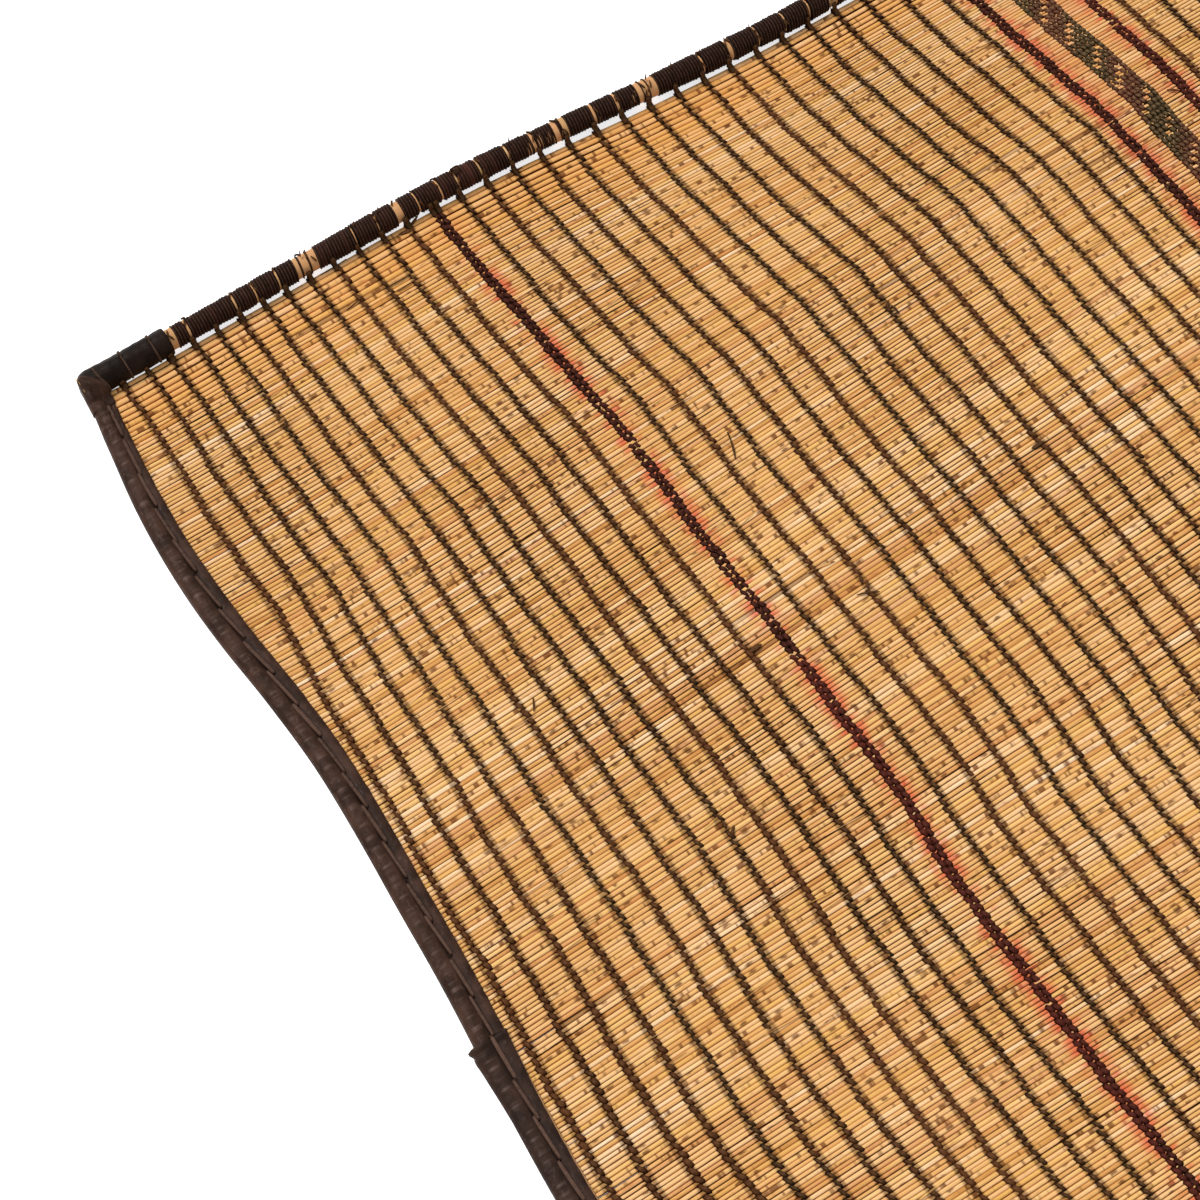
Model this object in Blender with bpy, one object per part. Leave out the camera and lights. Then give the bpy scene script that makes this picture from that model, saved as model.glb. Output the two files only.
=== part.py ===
"""Reed and leather mat, lying flat.

Parallel reeds run across the mat and are laced together by lines of dark leather thong that run
its whole length. A wound stick closes each end, a folded leather binding closes each side, and a
leather cap holds each corner. Red thong lines and one twined band run beside the plain lines.

Row frame: X across the mat, along the reeds. Y along the mat, +Y to the head end. Z up.
The origin is on the surface that the mat lies on, under its middle. Sizes below are millimetres.
The foot half is the head half turned half way round about Z.
"""

import math
from collections import namedtuple

import bmesh
import bpy

MM = 0.001
GAP = 0.3

# Whole mat
LENGTH = 2100.0
MEAN_HALF_WIDTH = 691.0

# Reed field
REED = 2.8
THONG = 0.8
FIELD_TOP = REED + THONG
RIB_HEIGHT = 1.0
RIB_WIDTH = 5.0
BOUND_LIFT = 1.5
BOUND_TOP = BOUND_LIFT + REED
BOUND_DEPTH = 9.0
BOUND_CLEAR = 22.5
RAMP_END = 26.0

# Side binding
BINDING_WIDTH = 20.0
COLLAR_START = 490.0
SHORT_END = 498.5
LONG_START = 499.9

# Lacing lines, by their distance out from the middle line
OUTER_LINES = (662.0, 439.0)
OUTER_COUNT = 13
INNER_LINES = (397.5, 42.5)
INNER_COUNT = 18
RED_LINES = (417.5, 27.5)
RED_WIDTH = 8.5
BAND_WIDTH = 20.5
STRIP_HEIGHT = 1.0

# Rods
CORE_RADIUS = 6.3
WINDING_RADIUS = 8.2
BARE_RADIUS = 7.1
BARE_WIDTH = 5.0
BARE_STEP = 0.5
BARE_COUNT = 9
CAP_RADIUS = 9.4
CAP_LENGTH = 62.0
CAP_WALL = 0.9
CAP_TIP = 684.0
ROD_TIP = 681.0
ROD_SIDES = 12
CAP_SIDES = 16

# In-plane unevenness
ROD_BOW = 17.0
BOW_LEVEL = 140.0
BOW_SLOPE = 300.0
BOW_STEPS = 8
BOW_FADE = 250.0
LEAN_REACH = 190.0
LEAN_CURVE = 1.5
SWAY = 13.0
SWAY_START = 90.0
SWAY_HALF_SPAN = 700.0
SHIFT_FROM = 500.0
SHIFT_BLEND = 120.0
EDGE_REACH = 260.0
HEM_BLEND = 18.0

# Left side: how far its outer edge and its first line stand out at each distance below the head end
EdgeRow = namedtuple("EdgeRow", "below_head edge_out line_out")
EDGE = [EdgeRow(*row) for row in (
    (0.0, -11.0, -5.0),
    (50.0, -4.0, -5.8),
    (100.0, 3.5, -4.4),
    (175.0, 7.0, -4.5),
    (200.0, 6.0, -4.9),
    (250.0, 2.0, -0.3),
    (300.0, 0.0, 2.8),
    (350.0, 2.0, 5.5),
    (400.0, 5.7, 9.3),
    (450.0, 9.0, 12.6),
    (490.0, 13.3, 15.0),
    (505.0, 17.6, 16.0),
    (550.0, 20.0, 21.6),
    (600.0, 22.5, 25.9),
    (680.0, 23.0, 24.0),
    (800.0, 18.0, 18.0),
    (950.0, 14.0, 14.0),
    (1050.0, 12.0, 12.0),
    (1200.0, 14.0, 14.0),
    (1400.0, 10.0, 10.0),
    (1560.0, 12.0, 12.0),
    (1720.0, 9.0, 9.0),
    (1860.0, 6.0, 6.0),
    (2000.0, 2.0, 0.0),
    (2100.0, -11.0, -8.0),
)]

# How far the lines lean aside where they meet the head rod
LeanRow = namedtuple("LeanRow", "x aside")
LEAN_TABLE = [LeanRow(*row) for row in (
    (-700.0, 0.0),
    (-662.0, 0.0),
    (-590.0, -3.5),
    (-513.0, -8.5),
    (-440.0, -10.5),
    (-337.0, -15.5),
    (-254.0, -19.0),
    (-170.0, -22.0),
    (-85.0, -22.0),
    (0.0, -17.5),
    (150.0, -9.0),
    (400.0, 0.0),
    (700.0, 0.0),
)]

# How far the inner lines shift aside further down
ShiftRow = namedtuple("ShiftRow", "below_head aside")
SHIFT_TABLE = [ShiftRow(*row) for row in (
    (0.0, 0.0),
    (300.0, 0.0),
    (400.0, 1.5),
    (450.0, 2.0),
    (500.0, 1.2),
    (550.0, -2.5),
    (600.0, -3.5),
    (680.0, -3.0),
    (850.0, 0.0),
    (1050.0, 0.0),
)]

# How strongly the reeds sway down the mat, as a share of SWAY
SwayRow = namedtuple("SwayRow", "below_head share")
SWAY_TABLE = [SwayRow(*row) for row in (
    (0.0, 0.2),
    (90.0, 0.7),
    (230.0, 1.0),
    (400.0, 0.9),
    (500.0, -0.2),
    (620.0, -1.3),
    (860.0, 0.0),
    (1050.0, 0.0),
)]

# Rows where the field's points lie, in the head half; the foot half mirrors them
FIELD_ROWS = (100.0, 200.0, 300.0, 400.0, 500.0, 600.0, 760.0)

# Sections of the side binding: distance in from the outer edge, and height
SectionPoint = namedtuple("SectionPoint", "inward height")
FOLDED_SECTION = [SectionPoint(*row) for row in (
    (BINDING_WIDTH, 5.9),
    (12.0, 6.3),
    (8.5, 7.6),
    (4.5, 8.0),
    (1.2, 6.6),
    (0.0, 4.2),
    (0.8, 1.6),
    (2.6, 0.0),
    (BINDING_WIDTH, 0.0),
    (BINDING_WIDTH, 1.2),
    (8.4, 1.2),
    (8.4, 3.0),
    (8.4, 4.6),
    (10.5, 4.6),
    (13.0, 4.6),
    (BINDING_WIDTH, 4.6),
)]
COLLAR_SECTION = [SectionPoint(*row) for row in (
    (21.2, 7.6),
    (12.4, 8.0),
    (9.1, 9.3),
    (4.3, 9.7),
    (0.1, 7.9),
    (-1.6, 4.4),
    (-0.9, 1.4),
    (-0.6, 0.0),
    (1.4, 0.0),
    (0.45, 1.4),
    (-0.35, 4.2),
    (0.85, 6.85),
    (4.4, 8.35),
    (8.7, 7.95),
    (12.2, 6.65),
    (21.2, 6.25),
)]

# Corner cap, turned about the rod's axis: distance in from the tip, and radius
CapRing = namedtuple("CapRing", "from_tip radius")
CAP_PROFILE = [CapRing(*row) for row in (
    (0.0, 6.2),
    (1.2, 8.9),
    (5.5, CAP_RADIUS),
    (30.0, 9.2),
    (CAP_LENGTH, 9.3),
    (CAP_LENGTH, CAP_RADIUS - CAP_WALL),
    (2.4, CAP_RADIUS - CAP_WALL),
)]

# Values that follow from the sizes above
HALF_LENGTH = LENGTH / 2
ROD_AXIS_Y = HALF_LENGTH - CAP_RADIUS
FIELD_START = 2 * CAP_RADIUS + 0.1
FIELD_HALF_LENGTH = HALF_LENGTH - FIELD_START
INNER_HALF_WIDTH = MEAN_HALF_WIDTH - BINDING_WIDTH


def smooth(value):
    """0 below 0, 1 above 1, and an even curve between."""
    value = min(max(value, 0.0), 1.0)
    return value * value * (3 - 2 * value)


def table(rows, where, column=1):
    """A column of a table at this value of its first one, in straight steps."""
    for upper, lower in zip(rows, rows[1:]):
        if where <= lower[0]:
            share = (where - upper[0]) / (lower[0] - upper[0])
            return upper[column] + (lower[column] - upper[column]) * share
    return rows[-1][column]


def edge_out(below_head):
    """How far the left edge stands out past its mean line."""
    return table(EDGE, below_head)


def edge_weight(inside):
    """How much a point this far inside the binding follows the edge."""
    return max(0.0, 1 - max(0.0, inside) / EDGE_REACH) ** 2


def side_shift(outward, below_head):
    """How far the unevenness of the left side pushes out a point this far from the middle."""
    line_out = table(EDGE, below_head, column=2)
    hem = smooth((outward - OUTER_LINES[0]) / HEM_BLEND)
    followed = line_out * edge_weight(INNER_HALF_WIDTH - outward)
    return followed + (edge_out(below_head) - line_out) * hem


def rod_bow(x):
    """How far the head rod bends in towards the mat here."""
    return ROD_BOW * (1 - smooth((abs(x) - BOW_LEVEL) / BOW_SLOPE))


def drift(x, below_head):
    """The head half's own bend of its lacing lines (dx) and of its reeds (dy)."""
    below_field = max(0.0, below_head - FIELD_START)
    lean = table(LEAN_TABLE, x) * max(0.0, 1 - (below_field / LEAN_REACH) ** LEAN_CURVE)
    shift = table(SHIFT_TABLE, below_head) * (1 - smooth((abs(x) - SHIFT_FROM) / SHIFT_BLEND))
    across = (x + SWAY_HALF_SPAN) / (2 * SWAY_HALF_SPAN)
    sway = SWAY * table(SWAY_TABLE, below_head) * (1 - math.cos(2 * math.pi * across)) / 2
    sway *= 1 - edge_weight(INNER_HALF_WIDTH - abs(x))
    bow = rod_bow(x) * max(0.0, 1 - below_field / BOW_FADE)
    return lean + shift, sway * smooth(below_field / SWAY_START) - bow


def placed(x, y):
    """Where a point of the straight mat lies in the real, uneven one."""
    below_head = HALF_LENGTH - y
    left = side_shift(-x, below_head)
    right = side_shift(x, LENGTH - below_head)
    half = 1 if y >= 0 else -1
    dx, dy = drift(x * half, HALF_LENGTH - abs(y))
    return x - left + right + half * dx, y + half * dy


def material(name, colour, roughness):
    made = bpy.data.materials.new(name)
    made.use_nodes = True
    shader = made.node_tree.nodes["Principled BSDF"]
    shader.inputs["Base Color"].default_value = (*colour, 1.0)
    shader.inputs["Roughness"].default_value = roughness
    shader.inputs["Metallic"].default_value = 0.0
    return made


def solid(name, points, faces, look, rounded=False):
    """One closed mesh object from points in millimetres."""
    mesh = bpy.data.meshes.new(name)
    mesh.from_pydata([(x * MM, y * MM, z * MM) for x, y, z in points], [], faces)
    work = bmesh.new()
    work.from_mesh(mesh)
    bmesh.ops.recalc_face_normals(work, faces=work.faces)
    work.to_mesh(mesh)
    work.free()
    mesh.materials.append(look)
    if rounded:
        mesh.shade_smooth()
        mesh.set_sharp_from_angle(angle=math.radians(40))
    made = bpy.data.objects.new(name, mesh)
    bpy.context.scene.collection.objects.link(made)
    return made


def loft(name, rings, look, ring_shaped=False, rounded=False):
    """A skin over equal rings of points. Its ends are closed, or joined to each other."""
    sides = len(rings[0])
    points = [point for ring in rings for point in ring]
    faces = []
    for i in range(len(rings) if ring_shaped else len(rings) - 1):
        start = i * sides
        after = (i + 1) % len(rings) * sides
        for j in range(sides):
            k = (j + 1) % sides
            faces.append((start + j, after + j, after + k))
            faces.append((start + j, after + k, start + k))
    if not ring_shaped:
        faces.append(tuple(range(sides)))
        faces.append(tuple(range(len(points) - sides, len(points))))
    return solid(name, points, faces, look, rounded)


def plain_line_places():
    """X of each plain lacing line, left to right, in the straight mat."""
    left = []
    for (outermost, innermost), count in ((OUTER_LINES, OUTER_COUNT), (INNER_LINES, INNER_COUNT)):
        step = (outermost - innermost) / (count - 1)
        left += [step * i - outermost for i in range(count)]
    return left + [-x for x in reversed(left)]


def field_rows():
    """Y of each row of points across the field, head to foot, in the straight mat."""
    head = [FIELD_HALF_LENGTH] + [HALF_LENGTH - below for below in FIELD_ROWS]
    return head + [0.0] + [-y for y in reversed(head)]


def edge_rows():
    """Y of each point down the left edge of the field."""
    table_rows = [HALF_LENGTH - row.below_head for row in EDGE[1:-1]]
    return sorted(set(table_rows + field_rows()), reverse=True)


def reed_field(look):
    """The laced reeds as one flat sheet. Each plain lacing line is a low rib on its top face."""
    rows = field_rows()
    columns = [(-INNER_HALF_WIDTH + RAMP_END - BINDING_WIDTH, FIELD_TOP)]
    for x in plain_line_places():
        columns.append((x - RIB_WIDTH / 2, FIELD_TOP))
        columns.append((x, FIELD_TOP + RIB_HEIGHT))
        columns.append((x + RIB_WIDTH / 2, FIELD_TOP))
    columns.append((-columns[0][0], FIELD_TOP))
    points = []
    faces = []

    def add(x, y, z):
        points.append((*placed(x, y), z))
        return len(points) - 1

    top = [[add(x, y, z) for x, z in columns] for y in rows]
    for upper, lower in zip(top, top[1:]):
        for i in range(len(columns) - 1):
            faces.append((upper[i], lower[i], lower[i + 1], upper[i + 1]))

    base = [[], []]
    for side in (0, 1):
        base[side] = [add(columns[-side][0], y, 0.0) for y in rows]
    head_base = [base[0][0]] + [add(x, rows[0], 0.0) for x, _ in columns[1:-1]] + [base[1][0]]
    foot_base = [base[0][-1]] + [add(x, rows[-1], 0.0) for x, _ in columns[1:-1]] + [base[1][-1]]
    for i in range(len(columns) - 1):
        faces.append((top[0][i], top[0][i + 1], head_base[i + 1], head_base[i]))
        faces.append((top[-1][i], top[-1][i + 1], foot_base[i + 1], foot_base[i]))
    underside = head_base + base[1][1:-1] + list(reversed(foot_base)) + list(reversed(base[0][1:-1]))
    faces.append(tuple(underside))

    # The reed ends rise a little where the binding's lower flap is under them.
    for side, sign in ((0, -1), (1, 1)):
        ys = edge_rows() if side == 0 else [-y for y in reversed(edge_rows())]
        outer_x = sign * (MEAN_HALF_WIDTH - BOUND_DEPTH)
        inner_x = sign * (MEAN_HALF_WIDTH - BOUND_CLEAR)
        strips = []
        for z in (BOUND_TOP, BOUND_LIFT):
            strips.append(([add(outer_x, y, z) for y in ys], [add(inner_x, y, z) for y in ys]))
        (top_out, top_in), (low_out, low_in) = strips
        for i in range(len(ys) - 1):
            faces.append((top_out[i], top_out[i + 1], top_in[i + 1], top_in[i]))
            faces.append((low_out[i], low_out[i + 1], low_in[i + 1], low_in[i]))
            faces.append((top_out[i], top_out[i + 1], low_out[i + 1], low_out[i]))
        ramp_top = [row[-side] for row in top]
        for level, near in ((top_in, ramp_top), (low_in, base[side])):
            for i in range(len(rows) - 1):
                first, last = ys.index(rows[i]), ys.index(rows[i + 1])
                faces.append((near[i + 1], near[i], *level[first : last + 1]))
        for end in (0, -1):
            faces.append((top_out[end], top_in[end], low_in[end], low_out[end]))
            faces.append((top_in[end], ramp_top[end], base[side][end], low_in[end]))
    return solid("reed_field", points, faces, look)


def strip(name, x, width, look):
    """A flat woven strip that lies along the reeds' tops from the head end to the foot end."""
    low = FIELD_TOP + GAP
    high = low + STRIP_HEIGHT
    rings = []
    for y in field_rows():
        left, at_y = placed(x - width / 2, y)
        right, _ = placed(x + width / 2, y)
        bevel = STRIP_HEIGHT
        ring = ((left, low), (right, low), (right - bevel, high), (left + bevel, high))
        rings.append([(at_x, at_y, z) for at_x, z in ring])
    return loft(name, rings, look)


def turned(point, side):
    """The point itself on the left (-1), or turned half way round about Z on the right (1)."""
    x, y, z = point
    return (x, y, z) if side < 0 else (-x, -y, z)


def binding_ring(section, below_head, side):
    edge = -MEAN_HALF_WIDTH - edge_out(below_head)
    y = HALF_LENGTH - below_head
    return [turned((edge + point.inward, y, point.height), side) for point in section]


def binding(name, section_rows, side, look):
    """A length of folded leather. section_rows gives each station's section, from the top down."""
    rings = [binding_ring(section, below_head, side) for below_head, section in section_rows]
    return loft(name, rings, look)


def short_binding_rows():
    stations = [row.below_head for row in EDGE if FIELD_START < row.below_head < SHORT_END]
    return [(below, FOLDED_SECTION) for below in [FIELD_START, *stations, SHORT_END]]


def long_binding_rows():
    """The longer piece. Its top end is a collar that laps over the end of the shorter one."""
    collar = [(COLLAR_START, COLLAR_SECTION), (LONG_START - 1.0, COLLAR_SECTION)]
    last = LENGTH - FIELD_START
    stations = [row.below_head for row in EDGE if LONG_START < row.below_head < last]
    return collar + [(below, FOLDED_SECTION) for below in [LONG_START, *stations, last]]


def rod_ring(x, radius, end, sides):
    """A ring about the rod's axis. end is 1 at the head and -1 at the foot."""
    axis_y = ROD_AXIS_Y - rod_bow(x * end)
    ring = []
    for i in range(sides):
        turn = 2 * math.pi * i / sides - math.pi / 2
        y = axis_y + radius * math.cos(turn)
        ring.append((x, y * end, CAP_RADIUS + radius * math.sin(turn)))
    return ring


def rod_stations(reach):
    """X of the rings that follow the rod's bend."""
    right = [BOW_LEVEL + BOW_SLOPE * i / BOW_STEPS for i in range(BOW_STEPS + 1)] + [reach]
    return [-x for x in reversed(right)] + right


def rod_core(name, end, look):
    rings = [rod_ring(x, CORE_RADIUS, end, ROD_SIDES) for x in rod_stations(ROD_TIP)]
    return loft(name, rings, look, rounded=True)


def rod_winding(name, end, look):
    """The thong winding as one sleeve, with grooves where it leaves the stick bare."""
    reach = ROD_TIP - GAP
    outer = [(x, WINDING_RADIUS) for x in rod_stations(reach)]
    spacing = 2 * (CAP_TIP - CAP_LENGTH) / (BARE_COUNT + 1)
    for i in range(BARE_COUNT):
        x = spacing * (i + 1 - (BARE_COUNT + 1) / 2)
        outer = [station for station in outer if abs(station[0] - x) > BARE_WIDTH]
        half = BARE_WIDTH / 2
        outer.append((x - half - BARE_STEP, WINDING_RADIUS))
        outer.append((x - half, BARE_RADIUS))
        outer.append((x + half, BARE_RADIUS))
        outer.append((x + half + BARE_STEP, WINDING_RADIUS))
    rings = [rod_ring(x, radius, end, ROD_SIDES) for x, radius in sorted(outer)]
    for x in reversed(rod_stations(reach)):
        rings.append(rod_ring(x, CORE_RADIUS + GAP, end, ROD_SIDES))
    return loft(name, rings, look, ring_shaped=True, rounded=True)


def corner_cap(name, side, end, look):
    """A leather sleeve, closed at its outer end, drawn over the rod's end."""
    rings = []
    for row in CAP_PROFILE:
        rings.append(rod_ring(side * (CAP_TIP - row.from_tip), row.radius, end, CAP_SIDES))
    return loft(name, rings, look, rounded=True)


def clear_scene():
    for thing in list(bpy.data.objects):
        bpy.data.objects.remove(thing, do_unlink=True)


clear_scene()

REED_LOOK = material("reed", (0.62, 0.40, 0.17), 0.55)
RED_LOOK = material("red_thong", (0.12, 0.025, 0.02), 0.60)
BAND_LOOK = material("band_thong", (0.05, 0.03, 0.02), 0.60)
BINDING_LOOK = material("binding_leather", (0.045, 0.032, 0.028), 0.45)
WINDING_LOOK = material("winding_thong", (0.025, 0.018, 0.015), 0.50)
STICK_LOOK = material("stick", (0.55, 0.28, 0.12), 0.60)

reed_field(REED_LOOK)

for number, red_x in enumerate([-x for x in RED_LINES] + list(reversed(RED_LINES)), 1):
    strip(f"red_line_{number}", red_x, RED_WIDTH, RED_LOOK)
strip("centre_band", 0.0, BAND_WIDTH, BAND_LOOK)

for side_name, edge_side in (("left", -1), ("right", 1)):
    binding(f"{side_name}_binding_short", short_binding_rows(), edge_side, BINDING_LOOK)
    binding(f"{side_name}_binding_long", long_binding_rows(), edge_side, BINDING_LOOK)

for end_name, rod_end in (("head", 1), ("foot", -1)):
    rod_core(f"{end_name}_rod", rod_end, STICK_LOOK)
    rod_winding(f"{end_name}_rod_winding", rod_end, WINDING_LOOK)
    for side_name, cap_side in (("left", -1), ("right", 1)):
        corner_cap(f"{end_name}_{side_name}_cap", cap_side, rod_end, BINDING_LOOK)
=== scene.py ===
"""Reed and leather mat on a white studio floor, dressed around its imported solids.

Sizes in the sections are millimetres. X runs along the reeds, +Y to the head end, Z up.
"""

import math

import bpy
import numpy as np
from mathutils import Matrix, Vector


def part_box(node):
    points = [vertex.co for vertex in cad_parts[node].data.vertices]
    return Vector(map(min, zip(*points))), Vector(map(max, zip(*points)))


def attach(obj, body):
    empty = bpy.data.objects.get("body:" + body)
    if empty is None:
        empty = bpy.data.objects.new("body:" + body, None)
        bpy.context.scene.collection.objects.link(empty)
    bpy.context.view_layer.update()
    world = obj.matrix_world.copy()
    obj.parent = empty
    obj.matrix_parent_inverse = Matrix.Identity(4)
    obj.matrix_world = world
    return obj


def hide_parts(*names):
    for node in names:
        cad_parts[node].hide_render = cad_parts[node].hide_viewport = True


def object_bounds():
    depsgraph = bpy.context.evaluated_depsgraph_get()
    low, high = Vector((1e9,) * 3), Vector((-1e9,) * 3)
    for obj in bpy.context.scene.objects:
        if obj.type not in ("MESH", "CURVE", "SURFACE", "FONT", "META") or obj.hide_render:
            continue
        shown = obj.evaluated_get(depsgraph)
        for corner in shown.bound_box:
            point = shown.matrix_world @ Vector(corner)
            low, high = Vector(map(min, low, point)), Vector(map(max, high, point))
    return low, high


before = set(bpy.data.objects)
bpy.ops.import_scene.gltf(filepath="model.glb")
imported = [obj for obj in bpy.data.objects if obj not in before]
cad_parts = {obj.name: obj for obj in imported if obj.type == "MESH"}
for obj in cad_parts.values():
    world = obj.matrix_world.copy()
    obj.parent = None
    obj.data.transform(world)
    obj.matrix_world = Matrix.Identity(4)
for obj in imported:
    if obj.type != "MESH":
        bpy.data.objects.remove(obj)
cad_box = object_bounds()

MM = 0.001
CAMERA_AIM = Vector((-0.492, 0.748, 0.0))
CAMERA_REACH = 1.73234
CAMERA_HEADING = math.radians(33.74)
CAMERA_DROP = math.radians(65.59)
LAMP_WAY = Vector((0.25, -0.75, -1.25))


def add_object(name, data):
    """A new object in the scene."""
    made = bpy.data.objects.new(name, data)
    bpy.context.scene.collection.objects.link(made)
    return made


looking = Vector((
    math.cos(CAMERA_DROP) * math.sin(CAMERA_HEADING),
    math.cos(CAMERA_DROP) * math.cos(CAMERA_HEADING),
    -math.sin(CAMERA_DROP),
))
camera_lens = bpy.data.cameras.new("studio_camera")
camera_lens.sensor_width = 36.0
camera_lens.lens = 86.65
camera_lens.clip_end = 60.0
camera = add_object("studio_camera", camera_lens)
camera.location = CAMERA_AIM - looking * CAMERA_REACH
camera.rotation_euler = looking.to_track_quat("-Z", "Y").to_euler()
bpy.context.scene.camera = camera

bpy.context.scene.view_settings.view_transform = "Standard"

room = bpy.data.worlds.new("white_room")
room.use_nodes = True
room.node_tree.nodes["Background"].inputs["Color"].default_value = (0.97, 0.985, 1.0, 1.0)
room.node_tree.nodes["Background"].inputs["Strength"].default_value = 0.62
bpy.context.scene.world = room

lamp_light = bpy.data.lights.new("broad_lamp", "SUN")
lamp_light.energy = 2.3
lamp_light.angle = math.radians(24)
lamp_light.color = (1.0, 0.985, 0.96)
lamp = add_object("broad_lamp", lamp_light)
lamp.rotation_euler = LAMP_WAY.to_track_quat("-Z", "Y").to_euler()


class Flow:
    """A value that runs through a material, so that sums with it can be written plainly."""

    def __init__(self, socket):
        self.socket = socket

    def __add__(self, other):
        return sum_of("ADD", self, other)

    def __sub__(self, other):
        return sum_of("SUBTRACT", self, other)

    def __rsub__(self, other):
        return sum_of("SUBTRACT", other, self)

    def __mul__(self, other):
        return sum_of("MULTIPLY", self, other)

    def __gt__(self, other):
        return sum_of("GREATER_THAN", self, other)

    def __lt__(self, other):
        return sum_of("LESS_THAN", self, other)

    def __abs__(self):
        return sum_of("ABSOLUTE", self)


def fill(made, inputs):
    """Fills a node's inputs with plain values, or wires flows to them."""
    for key, value in inputs.items():
        if isinstance(value, Flow):
            made.id_data.links.new(value.socket, made.inputs[key])
        else:
            made.inputs[key].default_value = value


def node(tree, kind, inputs, **settings):
    """A shader node with its settings and inputs."""
    made = tree.nodes.new("ShaderNode" + kind)
    for name, value in settings.items():
        setattr(made, name, value)
    fill(made, inputs)
    return made


def made_of(kind, inputs, output=0, **settings):
    """What a node puts out. It stands in the tree of the flows that it takes in."""
    tree = next(value.socket.id_data for value in inputs.values() if isinstance(value, Flow))
    return Flow(node(tree, kind, inputs, **settings).outputs[output])


def sum_of(operation, *values):
    return made_of("Math", dict(enumerate(values)), operation=operation)


def spread(value, low, high, out_low=0.0, out_high=1.0):
    """value from low to high, eased, as out_low to out_high."""
    inputs = {"Value": value, "From Min": low, "From Max": high, "To Min": out_low, "To Max": out_high}
    return made_of("MapRange", inputs, interpolation_type="SMOOTHSTEP")


def three_of(tree, kind, output, **settings):
    """The three values of a vector that a node gives."""
    vector = Flow(node(tree, kind, {}, **settings).outputs[output])
    return [Flow(socket) for socket in node(tree, "SeparateXYZ", {0: vector}).outputs]


def shade(red, green, blue):
    """A colour by its usual 0 to 255 strengths."""
    light = [((c / 255 + 0.055) / 1.055) ** 2.4 for c in (red, green, blue)]
    return (*light, 1.0)


def tinted(share, base, coat):
    """base, with this share of coat over it."""
    return made_of("Mix", {0: share, 6: base, 7: coat}, 2, data_type="RGBA")


def ramp_of(value, *stops):
    """A colour ramp. A stop is its place and its red, green and blue."""
    made = made_of("ValToRGB", {0: value})
    elements = made.socket.node.color_ramp.elements
    while len(elements) < len(stops):
        elements.new(0.5)
    for element, (place, *strengths) in zip(elements, stops):
        element.position = place
        element.color = shade(*strengths)
    return made


def new_look(name, **plain):
    """A material with its shader, and the values that are the same all over it."""
    made = bpy.data.materials.new(name)
    made.use_nodes = True
    shader = made.node_tree.nodes["Principled BSDF"]
    fill(shader, {key.replace("_", " "): value for key, value in plain.items()})
    return made, made.node_tree, shader


# In metres: the mat covers the paper up to here from its middle. Its ends curve in by the
# stick's bend. Only the paper outside it glows.
COVERED_SIDE = 0.66
COVERED_MIDDLE, COVERED_END = 1.012, 1.029
BEND_FROM, BEND_TO = 0.14, 0.44

paper_look, tree, shader = new_look("white_paper", Roughness=0.9, Emission_Strength=0.7)
paper_fibre = Flow(node(tree, "TexNoise", {"Scale": 60.0, "Detail": 3.0}).outputs[0])
paper_tint = ramp_of(paper_fibre, (0.0, 248, 248, 249), (1.0, 252, 252, 252))
aside, along, _ = three_of(tree, "TexCoord", "Object")
mat_end = spread(abs(aside), BEND_FROM, BEND_TO, COVERED_MIDDLE, COVERED_END)
uncovered = sum_of("MAXIMUM", abs(along) > mat_end, abs(aside) > COVERED_SIDE)
fill(shader, {"Base Color": paper_tint,
              "Emission Color": tinted(uncovered, (0.0, 0.0, 0.0, 1.0), paper_tint)})

FLOOR_REACH = 9.0
FLOOR_DROP = 0.3 * MM
floor_mesh = bpy.data.meshes.new("paper_floor")
floor_mesh.from_pydata(
    [(x * FLOOR_REACH, y * FLOOR_REACH, -FLOOR_DROP) for x, y in ((-1, -1), (1, -1), (1, 1), (-1, 1))],
    [],
    [(0, 1, 2, 3)],
)
floor_mesh.materials.append(paper_look)
floor = add_object("paper_floor", floor_mesh)

# ------------------------------------------------------------
# Reeds: dry marsh stems about 3 mm thick, laid side by side across the whole width. The
# lacing holds them flat, and their ends go into the side bindings. The mat has settled:
# its lines lean near the stick, and its sides wander in and out.
# ------------------------------------------------------------
HALF_LENGTH = cad_box[1].y / MM
LENGTH = 2 * HALF_LENGTH
FIELD_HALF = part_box("reed_field")[1].y / MM
FIELD_START = HALF_LENGTH - FIELD_HALF
FIRST_LINE = 662.0
BINDING_WIDTH = 20.0
MEAN_HALF = 691.0
INNER_HALF = MEAN_HALF - BINDING_WIDTH

# How far the left side's outer edge and its first line stand out, at each distance below the head
SIDE_BELOW = (0, 50, 100, 175, 200, 250, 300, 350, 400, 450, 490, 505, 550,
              600, 680, 800, 950, 1050, 1200, 1400, 1560, 1720, 1860, 2000, 2100)
EDGE_OUT = (-11, -4, 3.5, 7, 6, 2, 0, 2, 5.7, 9.2, 13.2, 15.0, 19.4,
            23, 23, 18, 14, 12, 14, 10, 12, 9, 6, 2, -11)
LINE_OUT = (-5, -5.8, -4.4, -4.5, -4.9, -0.3, 2.8, 5.5, 9.3, 12.6, 15.3, 16.8, 21.4,
            25.9, 24, 18, 14, 12, 14, 10, 12, 9, 6, 0, -8)
EDGE_REACH = 260.0
HEM_BLEND = 18.0

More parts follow.
